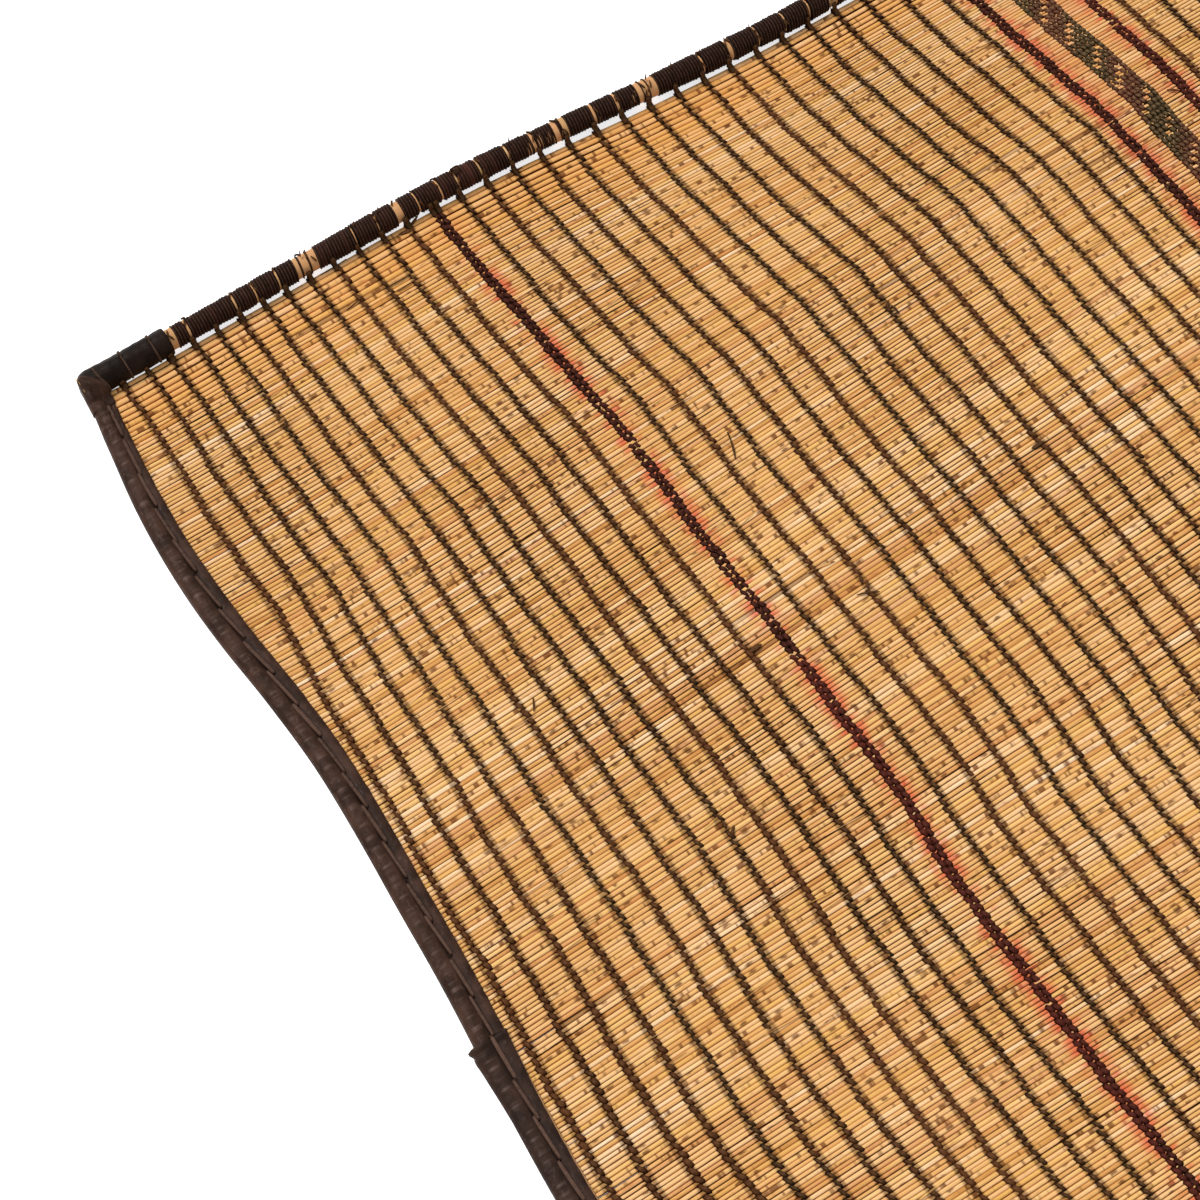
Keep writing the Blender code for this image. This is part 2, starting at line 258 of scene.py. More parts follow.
# How far the lines lean aside where they meet the head stick, and shift further down
LEAN_X = (-700, -662, -590, -513, -440, -337, -254, -170, -85, 0, 150, 400, 700)
LEAN_ASIDE = (0, 0, -3.5, -8.5, -10.5, -15.5, -19, -22, -22, -17.5, -9, 0, 0)
LEAN_REACH = 190.0
SHIFT_BELOW = (0, 300, 400, 450, 500, 550, 600, 680, 850, 1050)
SHIFT_ASIDE = (0, 0, 1.5, 2, 1.2, -2.5, -3.5, -3, 0, 0)
SHIFT_INSIDE, SHIFT_FADE = 500.0, 120.0

# How the reeds sway down the mat, and bend in with the stick
SWAY = 13.0
SWAY_HALF = 700.0
SWAY_START = 90.0
SWAY_BELOW = (0, 90, 230, 400, 500, 620, 860, 1050)
SWAY_SHARE = (0.2, 0.7, 1.0, 0.9, -0.2, -1.3, 0.0, 0.0)
ROD_BOW = 17.0
BOW_LEVEL = 140.0
BOW_SLOPE = 300.0
BOW_FADE = 250.0


def ease(value):
    """0 below 0, 1 above 1, and an even curve between."""
    value = np.clip(value, 0.0, 1.0)
    return value * value * (3 - 2 * value)


def eased_table(places, values, where):
    """A soft curve through a table's rows."""
    places = np.array(places, float)
    values = np.array(values, float)
    slopes = np.gradient(values, places)
    slopes[0] = slopes[-1] = 0.0
    where = np.clip(where, places[0], places[-1])
    row = np.clip(np.searchsorted(places, where) - 1, 0, len(places) - 2)
    span = places[row + 1] - places[row]
    t = (where - places[row]) / span
    start = values[row] * (1 + 2 * t) * (1 - t) ** 2 + values[row + 1] * t * t * (3 - 2 * t)
    return start + span * (slopes[row] * t * (1 - t) ** 2 + slopes[row + 1] * t * t * (t - 1))


def edge_out(below_head):
    return eased_table(SIDE_BELOW, EDGE_OUT, below_head)


def edge_pull(inside):
    """How much a point this far inside the binding follows the edge."""
    return np.clip(1 - np.maximum(inside, 0.0) / EDGE_REACH, 0.0, 1.0) ** 2


def side_shift(outward, below_head):
    """How far the left side's unevenness pushes out a point this far from the middle."""
    line_out = eased_table(SIDE_BELOW, LINE_OUT, below_head)
    hem = ease((outward - FIRST_LINE) / HEM_BLEND)
    return line_out * edge_pull(INNER_HALF - outward) + (edge_out(below_head) - line_out) * hem


def rod_bow(x):
    """How far the head stick bends in towards the mat here."""
    return ROD_BOW * (1 - ease((np.abs(x) - BOW_LEVEL) / BOW_SLOPE))


def drift(x, below_head):
    """How far the head half's lines lean sideways, and its reeds sway along."""
    below_field = np.maximum(0.0, below_head - FIELD_START)
    lean = eased_table(LEAN_X, LEAN_ASIDE, x) * np.maximum(0.0, 1 - (below_field / LEAN_REACH) ** 1.5)
    calm = 1 - ease((np.abs(x) - SHIFT_INSIDE) / SHIFT_FADE)
    shift = eased_table(SHIFT_BELOW, SHIFT_ASIDE, below_head) * calm
    sway = SWAY * eased_table(SWAY_BELOW, SWAY_SHARE, below_head)
    sway = sway * (1 - np.cos(np.pi * (x + SWAY_HALF) / SWAY_HALF)) / 2
    sway = sway * (1 - edge_pull(INNER_HALF - np.abs(x)))
    bow = rod_bow(x) * np.maximum(0.0, 1 - below_field / BOW_FADE)
    return lean + shift, sway * ease(below_field / SWAY_START) - bow


def laid(x, y):
    """Where a point of the straight mat lies in the settled one."""
    below = HALF_LENGTH - y
    left = side_shift(-x, below)
    right = side_shift(x, LENGTH - below)
    half = np.where(y >= 0, 1.0, -1.0)
    aside, along = drift(x * half, HALF_LENGTH - np.abs(y))
    return x - left + right + half * aside, y + half * along


def rows_of(*values):
    """Rows of three from three values or arrays of them."""
    return np.stack(np.broadcast_arrays(*values), -1)


def laid_points(x, y, z):
    return rows_of(*laid(x, y), z)


def tube_faces(tubes, rings, sides):
    """Triangles of equal closed tubes, whose points run tube by tube and ring by ring."""
    ring, side = np.meshgrid(np.arange(rings - 1), np.arange(sides), indexing="ij")
    here = (ring * sides + side).ravel()
    beside = (ring * sides + (side + 1) % sides).ravel()
    fan = np.arange(1, sides - 1)
    first_end = np.stack([np.zeros_like(fan), fan + 1, fan], 1)
    one = np.concatenate([
        np.stack([here, beside, beside + sides], 1),
        np.stack([here, beside + sides, here + sides], 1),
        first_end,
        first_end[:, ::-1] + (rings - 1) * sides,
    ])
    starts = np.arange(tubes) * rings * sides
    return (one[None] + starts[:, None, None]).reshape(-1, 3)


def new_piece(name, parts, look):
    """A mesh piece of the mat. Each part is its points, two marks for each, and triangles.

    The material reads the marks: lie, a place along and across the surface, and own.
    """
    gathered = [[], [], [], []]
    start = 0
    for *rows, faces in parts:
        rows = [np.asarray(row, float).reshape(-1, 3) for row in rows]
        for kind, values in zip(gathered, (*rows, faces + start)):
            kind.append(values)
        start += len(rows[0])
    points, lie, own, faces = (np.concatenate(kind) for kind in gathered)
    a, b, c = points[faces[:, 0]], points[faces[:, 1]], points[faces[:, 2]]
    if np.einsum("ij,ij->i", a, np.cross(b, c)).sum() < 0:
        faces = faces[:, ::-1]
    mesh = bpy.data.meshes.new(name)
    mesh.vertices.add(len(points))
    mesh.vertices.foreach_set("co", (points * MM).ravel())
    mesh.loops.add(faces.size)
    mesh.loops.foreach_set("vertex_index", faces.ravel())
    mesh.polygons.add(len(faces))
    mesh.polygons.foreach_set("loop_start", np.arange(0, faces.size, 3))
    mesh.update(calc_edges=True)
    mesh.shade_smooth()
    for mark, values in (("lie", lie), ("own", own)):
        kept = mesh.attributes.new(mark, "FLOAT_VECTOR", "POINT")
        kept.data.foreach_set("vector", values.ravel())
    mesh.materials.append(look)
    piece = add_object(name, mesh)
    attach(piece, "root")
    return piece


REED_COUNT = 737
REED_REACH = 682.2
REED_RADIUS, REED_CHANGE = 1.38, 0.11
THINNEST, THICKEST = 1.12, 1.7
REED_MIDDLE = 2.2
REEDS_HALF = FIELD_HALF + 2.1
REED_SQUASH = (1.1, 0.96)
# The first few stems by each stick are thicker, and each stem's ends lie up in the binding
THICK_BY = 0.7
THICK_COUNT, THICK_FADE = 4, 6.0
END_LIFT = 0.7
END_FROM, END_OVER = 664.0, 5.0
CORNER_REEDS_DOWN_TO = 240.0
HEXAGON = np.radians([60, 120, 180, 240, 300, 0])

chance = np.random.default_rng(11)
from_end = np.minimum(np.arange(REED_COUNT), np.arange(REED_COUNT)[::-1])
reed_radius = np.clip(chance.normal(REED_RADIUS, REED_CHANGE, REED_COUNT), THINNEST, THICKEST)
reed_radius += THICK_BY * (1 - ease((from_end - THICK_COUNT) / THICK_FADE))
steps = reed_radius[1:] + reed_radius[:-1]
steps *= (2 * REEDS_HALF - reed_radius[0] - reed_radius[-1]) / steps.sum()
reed_y = REEDS_HALF - reed_radius[0] - np.concatenate([[0.0], np.cumsum(steps)])
reed_tone = chance.random(REED_COUNT)
reed_hue = chance.random(REED_COUNT)

# Reeds that stand out, found by the place (x, y) that they pass: browner ones, and ones that
# have sunk between their neighbours from one x to another and left a crack, darkened with painted shade
BROWN_REEDS = ((-300, 678), (-400, 801), (-190, 872), (-450, 903))
BROWN_HUE = 0.97
SUNK_REEDS = (
    (-610, -560, 825), (-620, -575, 952), (-650, -610, 852), (-260, -200, 828), (-150, -90, 862),
    (-470, -420, 667), (-545, -495, 1001), (-430, -380, 690), (-62, -20, 819), (-84, -30, 848),
    (-112, -90, 834), (-56, -40, 828), (-640, -610, 541),
)
SUNK_BY = 0.7
SUNK_PAST, SUNK_OVER = 12.0, 14.0


def reed_through(x, y):
    """The reed that passes this place of the settled mat."""
    _, reed_at = laid(np.full(REED_COUNT, float(x)), reed_y)
    return int(np.argmin(np.abs(reed_at - y)))


for x, y in BROWN_REEDS:
    reed_hue[reed_through(x, y)] = BROWN_HUE
sunk_reeds = {reed_through((first + last) / 2, y): (first, last) for first, last, y in SUNK_REEDS}


def reed_tubes(chosen, stations, seed):
    """Six-sided stems with a little bend of their own."""
    luck = np.random.default_rng(seed)
    count = len(chosen)
    ends = REED_REACH - luck.uniform(0.0, 3.5, (count, 2))
    share = (stations + REED_REACH) / (2 * REED_REACH)
    x = -ends[:, :1] + (ends[:, :1] + ends[:, 1:]) * share[None]
    phase = np.cumsum(luck.normal(0.0, 0.05, (count, 3)), 0)
    wobble = 0.2 * np.sin(2 * np.pi * (x / 210 + phase[:, :1]))
    wobble += 0.16 * np.sin(2 * np.pi * (x / 121 + phase[:, 1:2]))
    swell = 1 + 0.07 * np.sin(2 * np.pi * (x / 260 + phase[:, 2:]))
    radius = reed_radius[chosen][:, None] * swell
    turn = HEXAGON[None] + luck.normal(0.0, 0.14, (count, 1))
    y = reed_y[chosen][:, None] + wobble
    y = y[..., None] + REED_SQUASH[0] * radius[..., None] * np.cos(turn)[:, None]
    z = REED_MIDDLE + END_LIFT * ease((np.abs(x) - END_FROM) / END_OVER)
    z = z + luck.normal(0.0, 0.13, (count, 1)) + 0.12 * np.sin(2 * np.pi * (x / 173 + phase[:, 2:]))
    sunk = np.zeros(x.shape)
    for number, reed in enumerate(chosen):
        if reed in sunk_reeds:
            first, last = sunk_reeds[reed]
            along = x[number]
            sunk[number] = ease((along - first + SUNK_PAST) / SUNK_OVER)
            sunk[number] *= ease((last + SUNK_PAST - along) / SUNK_OVER)
    z = z - SUNK_BY * sunk
    z = z[..., None] + REED_SQUASH[1] * radius[..., None] * np.sin(turn)[:, None]
    x = x[..., None]
    crown = np.sin(HEXAGON) > 0.5
    tone, hue = reed_tone[chosen][:, None, None], reed_hue[chosen][:, None, None]
    own = rows_of(tone + 0 * y, hue, sunk[..., None])
    return laid_points(x, y, z), rows_of(x, y, crown), own, tube_faces(count, len(stations), 6)


def noise_of(x, y, z, detail=2.0, roughness=0.5, scale=1.0):
    """Noise over a place whose x, y and z are flows or numbers."""
    place = made_of("CombineXYZ", {0: x, 1: y, 2: z})
    inputs = {"Vector": place, "Scale": scale, "Detail": detail, "Roughness": roughness}
    return made_of("TexNoise", inputs)


def bump_of(height, depth, strength):
    """The normals of a surface with this relief."""
    return made_of("Bump", {"Height": height, "Distance": depth, "Strength": strength})


def read_marks(tree):
    """The three values of lie, then the three of own."""
    return [value for mark in ("lie", "own")
            for value in three_of(tree, "Attribute", "Vector", attribute_name=mark)]


def new_group(name, **inputs):
    """A node group, and the flows of its inputs. Each is given with its first value."""
    made = bpy.data.node_groups.new(name, "ShaderNodeTree")
    for label, first in inputs.items():
        kind = "NodeSocketColor" if isinstance(first, tuple) else "NodeSocketFloat"
        socket = made.interface.new_socket(label.replace("_", " "), in_out="INPUT", socket_type=kind)
        socket.default_value = first
    given = made.nodes.new("NodeGroupInput")
    return made, *(Flow(given.outputs[label.replace("_", " ")]) for label in inputs)


def give_out(group, **results):
    """The group's outputs: a colour where it says Colour, and plain values."""
    for label in results:
        kind = "NodeSocketColor" if label == "Colour" else "NodeSocketFloat"
        group.interface.new_socket(label, in_out="OUTPUT", socket_type=kind)
    fill(group.nodes.new("NodeGroupOutput"), results)


def placed(tree, group, **inputs):
    """The group placed in a material: what it puts out."""
    inputs = {label.replace("_", " "): value for label, value in inputs.items()}
    return [Flow(socket) for socket in node(tree, "Group", inputs, node_tree=group).outputs]


# The grain of a dry stem, for reeds and sticks: long fibres, and brown flecks here and there.
stem_grain, along, across, stem, fleck_share = new_group(
    "stem_grain", Along=0.0, Across=0.0, Stem=0.0, Fleck_Share=0.05)
fibre = noise_of(along * 0.035, across * 1.7, stem * 61.0, 3.0, 0.6)
warp = noise_of(along * 0.5, across * 0.9, 0.0)
cell_place = made_of("CombineXYZ", {0: along * 0.105, 1: stem * 83.0 + across * 0.2, 2: 0.0})
cell = node(stem_grain, "TexVoronoi", {"Vector": cell_place, "Scale": 1.0}, voronoi_dimensions="2D")
cell_pick = made_of("SeparateColor", {0: Flow(cell.outputs["Color"])})
cell_far = Flow(cell.outputs["Distance"]) + warp * 0.5
give_out(stem_grain, Fibre=fibre, Fleck=spread(cell_far, 0.62, 0.34) * (cell_pick < fleck_share))

RED_X = (417.5, 27.5)
DYE_REACH = 12.0
# Runs of plain lines from the sides in: the first line's distance from the middle, the
# last one's, and how many there are
PLAIN_RUNS = ((662.0, 439.0, 13), (397.5, 42.5, 18))

reed_look, tree, shader = new_look("dry_reed", Specular_IOR_Level=0.08)
along, across, crown, tone, hue, sunk = read_marks(tree)
fibre, fleck = placed(tree, stem_grain, Along=along, Across=across, Stem=tone, Fleck_Share=0.1)
stretch_tone = noise_of(along * 0.016, tone * 83.0, hue * 47.0, 3.0, 0.6)
patch_tone = noise_of(along * 0.008, across * 0.022, 0.0)
smudge_tone = noise_of(along * 0.05, across * 0.13, 3.0, 4.0, 0.65)
spot_tone = noise_of(along * 0.15, tone * 97.0, hue * 59.0, 2.0, 0.6)
straw = ramp_of(
    tone * 0.42 - 0.56 + stretch_tone * 0.95 + patch_tone * 0.35 + fibre * 0.55,
    (0.0, 160, 98, 42),
    (0.25, 203, 144, 78),
    (0.5, 223, 172, 106),
    (0.75, 235, 191, 136),
    (1.0, 247, 217, 178),
)
# Pink, yellow and brown stems, a warmer shade by the sticks, smudges and spots
for value, low, high, share, stain in (
    (hue, 0.6, 1.0, 0.35, (232, 170, 108)),
    (hue, 0.3, 0.0, 0.4, (232, 184, 96)),
    (hue, 0.945, 0.955, 0.4, (190, 118, 62)),
    (abs(across), 965.0, 1015.0, 0.4, (232, 160, 80)),
    (smudge_tone, 0.57, 0.74, 0.6, (168, 104, 52)),
    (spot_tone, 0.6, 0.7, 0.85, (112, 60, 24)),
):
    straw = tinted(spread(value, low, high, 0.0, share), straw, shade(*stain))
straw = tinted(fleck * 0.8, straw, shade(100, 52, 20))

# The stem's own joints: a thin brown ring every hand's breadth
joint_off = abs(sum_of("FRACT", along * (1 / 172.0) + tone * 37.0) - 0.5)
joint_ring = spread(joint_off, 0.0075, 0.003, 0.0, 0.5) * (hue > 0.72)
straw = tinted(joint_ring, straw, shade(120, 66, 32))

# Red dye that has run out of the red thongs into single reeds
aside = abs(along)
dye_near = 0.0
for red_x in RED_X:
    dye_near = sum_of("MAXIMUM", spread(abs(aside - red_x), DYE_REACH, 4.0), dye_near)
dye_row = noise_of(along * 0.02, across * 0.025, 7.0)
dye_stem = noise_of(along * 0.07, tone * 91.0, 11.0, 1.0)
dye = spread(dye_row + dye_stem * 1.4, 1.02, 1.38) * dye_near
dye = dye * spread(abs(across), 1005.0, 980.0, 0.15, 0.82)
straw = tinted(dye, straw, shade(216, 96, 68))
blush = spread(aside, 46.0, 20.0, 0.0, 0.34) * spread(dye_row, 0.35, 0.6)
straw = tinted(blush, straw, shade(222, 138, 96))

# Painted shade in the grooves between the stems: thin in places, a wide dark crack in others,
# and deeper where a thong pulls the stems together
line_off = 30.0
for outer, inner, count in PLAIN_RUNS:
    step = (outer - inner) / (count - 1)
    place = sum_of("MAXIMUM", sum_of("DIVIDE", outer - aside, step), 0.0)
    place = sum_of("ROUND", sum_of("MINIMUM", place, count - 1.0))
    line_off = sum_of("MINIMUM", line_off, abs(aside - (place * -step + outer)))
gap_shade_noise = noise_of(along * 0.012, across * 0.3, 19.0, 3.0, 0.6)
# Painted shade down the sides of each stem, away from its flat top
straw = tinted(spread(crown, 0.95, 0.25, 0.0, 0.5), straw, shade(184, 112, 48))
groove_shade_reach = spread(gap_shade_noise, 0.34, 0.62, 0.12, 0.46) + spread(gap_shade_noise, 0.64, 0.72, 0.0, 0.45)
groove_shade_reach = groove_shade_reach + spread(line_off, 4.5, 1.8) * 0.3 + (fibre - 0.5) * 0.5 + (hue - 0.5) * 0.24
groove_shade_colour = tinted(spread(gap_shade_noise, 0.4, 0.62), shade(142, 84, 34), shade(70, 31, 5))
straw = tinted(spread(crown, groove_shade_reach - 0.16, groove_shade_reach + 0.2), groove_shade_colour, straw)
# Painted shade on the stems that have sunk into a crack
straw = tinted(sunk * 0.6, straw, shade(98, 54, 20))
# Painted shade beside each plain line, where the thongs pull the stems together
straw = tinted(spread(line_off, 3.8, 1.8, 0.0, 0.6), straw, shade(84, 42, 12))
fill(shader, {"Base Color": straw, "Roughness": spread(fibre, 0.3, 0.7, 0.5, 0.62),
              "Normal": bump_of(fibre, 0.0003, 0.4)})

hem_stations = np.array([REED_REACH, 674.0, 667.0, 660.0, 652.0, 642.0, 628.0])
close_stations = np.concatenate([
    -hem_stations, np.linspace(-605, 100, 20), np.linspace(250, 650, 4), [REED_REACH],
])
far_half = np.array([REED_REACH, 670.0, 655.0, 620.0, 520.0, 380.0, 190.0])
far_stations = np.concatenate([-far_half, [0.0], far_half[::-1]])
reeds = new_piece("reeds", [
    reed_tubes(np.flatnonzero(reed_y > CORNER_REEDS_DOWN_TO), close_stations, 21),
    reed_tubes(np.flatnonzero(reed_y <= CORNER_REEDS_DOWN_TO), far_stations, 22),
], reed_look)
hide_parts("reed_field")

# ------------------------------------------------------------
# Plain lacing: goat-leather thongs, twined over and under the reeds two at a time in lines
# about 20 mm apart. Each stitch lies a little aslant over its pair, and dives between pairs.
# ------------------------------------------------------------
STITCH_HALF_WIDTH = 1.48
STITCH_LEAN = 1.55
STITCH_LAP = 1.25
STITCH_TOP = 4.7
STITCH_FOOT = 3.3
STITCH_DIVE = 2.6
STITCH_BREADTH = 0.55
THICK_FROM, THICK_OVER = 17.0, 20.0
CLOSE_RIGHT = 110.0
CLOSE_DOWN_TO = 200.0

plain_left = [x for outer, inner, count in PLAIN_RUNS for x in np.linspace(-outer, -inner, count)]
plain_lines = plain_left + [-x for x in reversed(plain_left)]

# Where a worn thong has broken: line, and the stretch below the head end where it is gone
BREAKS = ((4, 90, 98), (26, 64, 72), (23, 175, 187), (24, 186, 194), (21, 236, 244),
          (8, 462, 469), (15, 385, 391), (36, 300, 309), (50, 820, 829), (10, 1240, 1252))

# A stitch is made of rings along it (place from -1 to 1, share of the width, share of the
# rise), and of a section across it (place from -1 to 1, share of the rise)
FULL = (((-0.68, 0.88, 0.6), (-0.05, 1.0, 1.0), (0.66, 0.9, 0.6)),
        ((-1.0, 0.0), (-0.52, 1.0), (0.52, 1.0), (1.0, 0.0)))
SHORT = (((-0.52, 0.98, 0.9), (0.52, 0.98, 0.9)),
         ((-1.0, 0.0), (0.0, 1.0), (1.0, 0.0)))


def stitch_faces(stitches, rings, sides):
    """Triangles of equal stitches: a point, rings of points, and a point."""
    side = np.arange(sides)
    beside = (side + 1) % sides
    last = rings * sides + 1
    parts = [np.stack([np.zeros_like(side), 1 + beside, 1 + side], 1)]
    for ring in range(rings - 1):
        here, there = 1 + ring * sides + side, 1 + ring * sides + beside
        parts.append(np.stack([here, there, there + sides], 1))
        parts.append(np.stack([here, there + sides, here + sides], 1))
    end = 1 + (rings - 1) * sides
    parts.append(np.stack([np.full_like(side, last), end + side, end + beside], 1))
    one = np.concatenate(parts)
    starts = np.arange(stitches) * (last + 1)
    return (one[None] + starts[:, None, None]).reshape(-1, 3)


def thicker(y):
    """How much higher the thick reeds by the sticks stand."""
    return THICK_BY * (1 - ease((REEDS_HALF - np.abs(y) - THICK_FROM) / THICK_OVER))


def stitches(make, x, y, lean, half_long, half_wide, top, tone, luck, foot=STITCH_FOOT, dive=STITCH_DIVE):
    """Many stitches of one make in the straight mat, with one of each value for each."""
    rings, section = make
    above = thicker(y)[:, None] * (foot == STITCH_FOOT)
    length = np.hypot(lean, half_long)
    way_x, way_y = lean / length, -half_long / length
    columns = [(-1.0, 0.0, 0.0, 0.0)]
    for place, width, rise in rings:
        for aside, up in section:
            columns.append((place, aside * width, rise, up))
    columns.append((1.0, 0.0, 0.0, 0.0))
    place, aside, rise, up = np.array(columns).T
    px = x[:, None] + place * lean[:, None] + aside * (half_wide * -way_y)[:, None]
    py = y[:, None] - place * half_long[:, None] + aside * (half_wide * way_x)[:, None]
    low = foot - (1 - rise) * (foot - dive) * (np.abs(place) > STITCH_BREADTH)
    pz = low + up * rise * (top - foot)[:, None] + above
    pz[:, [0, -1]] = dive + above
    # own: the crown, which gets wear and painted highlight, and the distance from the middle, which gets
    # painted shade where the stitch dives
    own = rows_of(up, np.abs(place), luck[:, None])
    return laid_points(px, py, pz), rows_of(px, py, tone[:, None]), own, stitch_faces(
        len(x), len(rings), len(section))


def thong_tones(count, luck, run_low, run_high):
    """One tone for each thong that the lacer used up along a line, with a little change."""
    tones = np.empty(count)
    start = 0
    while start < count:
        run = int(luck.integers(run_low, run_high))
        tones[start:start + run] = luck.random()
        start += run
    return np.clip(tones + luck.normal(0.0, 0.05, count), 0.0, 1.0)


pair_count = REED_COUNT // 2
first_y, second_y = reed_y[:2 * pair_count].reshape(-1, 2).T
pair_y = (first_y + second_y) / 2
pair_half = (first_y - second_y) / 2 + reed_radius[:2 * pair_count].reshape(-1, 2).sum(1) / 2


def line_wander(line, y):
    """A line's own small wander, the same for everything that is on it."""
    luck = np.random.default_rng(300 + line)
    phase = luck.random(3)
    wander = 0.85 * np.sin(2 * np.pi * (y / 128 + phase[0]))
    wander = wander + 0.5 * np.sin(2 * np.pi * (y / 51 + phase[1]))
    return wander + 0.3 * np.sin(2 * np.pi * (y / 23 + phase[2]))


close_parts, far_left_parts, far_right_parts = [], [], []
for line, line_x in enumerate(plain_lines):
    luck = np.random.default_rng(500 + line)
    tone = thong_tones(pair_count, luck, 40, 130)
    stitch_x = line_x + line_wander(line, pair_y) + luck.normal(0.0, 0.16, pair_count)
    lean = STITCH_LEAN * luck.uniform(0.6, 1.4, pair_count)
    half_long = pair_half + STITCH_LAP * luck.uniform(0.6, 1.35, pair_count)
    half_wide = STITCH_HALF_WIDTH * (0.86 + 0.3 * tone) * luck.uniform(0.86, 1.16, pair_count)
    top = STITCH_TOP + luck.normal(0.0, 0.12, pair_count)
    every = np.array([stitch_x, pair_y, lean, half_long, half_wide, top, tone, luck.random(pair_count)])
    whole = np.ones(pair_count, bool)
    for broken, low, high in BREAKS:
        if broken == line:
            whole &= (HALF_LENGTH - pair_y < low) | (HALF_LENGTH - pair_y > high)
    close = (pair_y > CLOSE_DOWN_TO) & (line_x < CLOSE_RIGHT)
    if line_x < CLOSE_RIGHT:
        close_parts.append(stitches(FULL, *every[:, close & whole]))
    far_parts = far_left_parts if line_x < 0 else far_right_parts
    far_parts.append(stitches(SHORT, *every[:, ~close & whole]))

# The surface of a worn leather thong: painted shade where it dives, and along its crown a paler mark that
# is partly wear and partly painted highlight
thong_skin, along, across, crown, from_middle, colour, highlight_and_wear_colour, depth, highlight_and_wear = new_group(
    "thong_skin", Along=0.0, Across=0.0, Crown=0.0, From_Middle=0.0, Colour=(0.1, 0.1, 0.1, 1.0),
    Rubbed=(0.2, 0.2, 0.2, 1.0), Depth=(0.01, 0.01, 0.01, 1.0), Rub=0.6)
pores = noise_of(along, across, 0.0, 3.0, 0.6, 1.6)
wear = noise_of(along, across, 0.0, 2.0, 0.5, 0.35)
highlight_and_wear = highlight_and_wear * spread(crown, 0.35, 1.0) * spread(from_middle, 0.8, 0.1)
highlight_and_wear = highlight_and_wear * spread(pores, 0.3, 0.65) * spread(wear, 0.3, 0.6, 0.45, 1.0)
# Painted shade towards the thong's ends, over the crown's mix of wear and painted highlight
colour = tinted(spread(from_middle, 0.45, 0.95), tinted(highlight_and_wear, colour, highlight_and_wear_colour), depth)
give_out(thong_skin, Colour=colour, Roughness=spread(pores, 0.3, 0.7, 0.42, 0.6), Height=pores)


def thong_look(name, highlight_and_wear_colour, highlight_and_wear, *tones):
    """Thong leather in tones that change from thong to thong, with painted shade where it dives and a paler
    crown that is wear and painted highlight.
    """
    made, tree, shader = new_look(name, Specular_IOR_Level=0.03)
    along, across, tone, crown, from_middle, _ = read_marks(tree)
    colour, roughness, height = placed(
        tree, thong_skin, Along=along, Across=across, Crown=crown, From_Middle=from_middle,
        Colour=ramp_of(tone, *tones), Rubbed=shade(*highlight_and_wear_colour), Depth=shade(15, 6, 1), Rub=highlight_and_wear)
    fill(shader, {"Base Color": colour, "Roughness": roughness, "Normal": bump_of(height, 0.0004, 0.5)})
    return made


lacing_look = thong_look("lacing_leather", (124, 88, 58), 0.65, (0.0, 40, 27, 14), (0.3, 46, 26, 11),
                         (0.65, 60, 31, 14), (1.0, 80, 43, 22))
lacing_pieces = [
    new_piece("lacing_near_head", close_parts, lacing_look),
    new_piece("lacing_left", far_left_parts, lacing_look),
    new_piece("lacing_right", far_right_parts, lacing_look),
]

# ------------------------------------------------------------
# Red lines: four lines of narrower thongs dyed dark red, two rows of short stitches side
# by side. They run beside the plain lines, and their dye has stained the reeds.
# ------------------------------------------------------------
RED_ROWS = (-1.7, 1.7)
RED_STEP = 5.0
RED_HALF_WIDTH = 1.85
RED_TOP = 4.75
ROW_START = 3.5
ROW_ENDS = 6.0

red_lines = [-x for x in RED_X] + list(reversed(RED_X))
red_look = thong_look("red_thong", (120, 66, 54), 0.5, (0.0, 38, 19, 12), (0.5, 48, 21, 15),
                      (1.0, 68, 27, 20))

for number, line_x in enumerate(red_lines, 1):
    parts = []
    for row, row_x in enumerate(RED_ROWS):
        luck = np.random.default_rng(700 + 10 * number + row)
        count = int((2 * FIELD_HALF - ROW_ENDS) / RED_STEP)
        y = FIELD_HALF - ROW_START - RED_STEP * (np.arange(count) + 0.3 * row)
        y = y + luck.normal(0.0, 0.2, count)
        x = line_x + row_x + line_wander(90 + number, y) * 0.6 + luck.normal(0.0, 0.2, count)
        tone = thong_tones(count, luck, 20, 90)
        close = (y > CLOSE_DOWN_TO) & (line_x < CLOSE_RIGHT)
        for chosen, make in ((close, FULL), (~close, SHORT)):
            many = int(chosen.sum())
            if many:
                parts.append(stitches(
                    make, x[chosen], y[chosen], luck.uniform(1.1, 1.8, many), luck.uniform(3.4, 4.0, many),
                    RED_HALF_WIDTH * luck.uniform(0.8, 1.15, many),
                    RED_TOP + luck.normal(0.0, 0.14, many), tone[chosen], luck.random(many),
                ))
    piece = new_piece(f"red_thongs_{number}", parts, red_look)
    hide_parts(f"red_line_{number}")

# ------------------------------------------------------------
# Centre band: six rows of thong stitches packed side by side. Stitches are left out in
# slanting runs, so that squares of reed show, and the thongs change colour along the band.
# ------------------------------------------------------------
BAND_ROWS = 6
BAND_ROW_STEP = 3.4
BAND_STEP = 4.5
BAND_RUN = 26.0
BAND_HALF_WIDTH = 1.85
BAND_TOP = 4.8
COLOUR_RUN = 78.0
OUTER_LEAN = 0.7

band_look = thong_look("band_thong", (146, 118, 86), 0.7, (0.0, 42, 34, 15), (0.4, 46, 31, 17),
                       (0.6, 58, 29, 20), (1.0, 80, 35, 26))
band_x = (np.arange(BAND_ROWS) - (BAND_ROWS - 1) / 2) * BAND_ROW_STEP

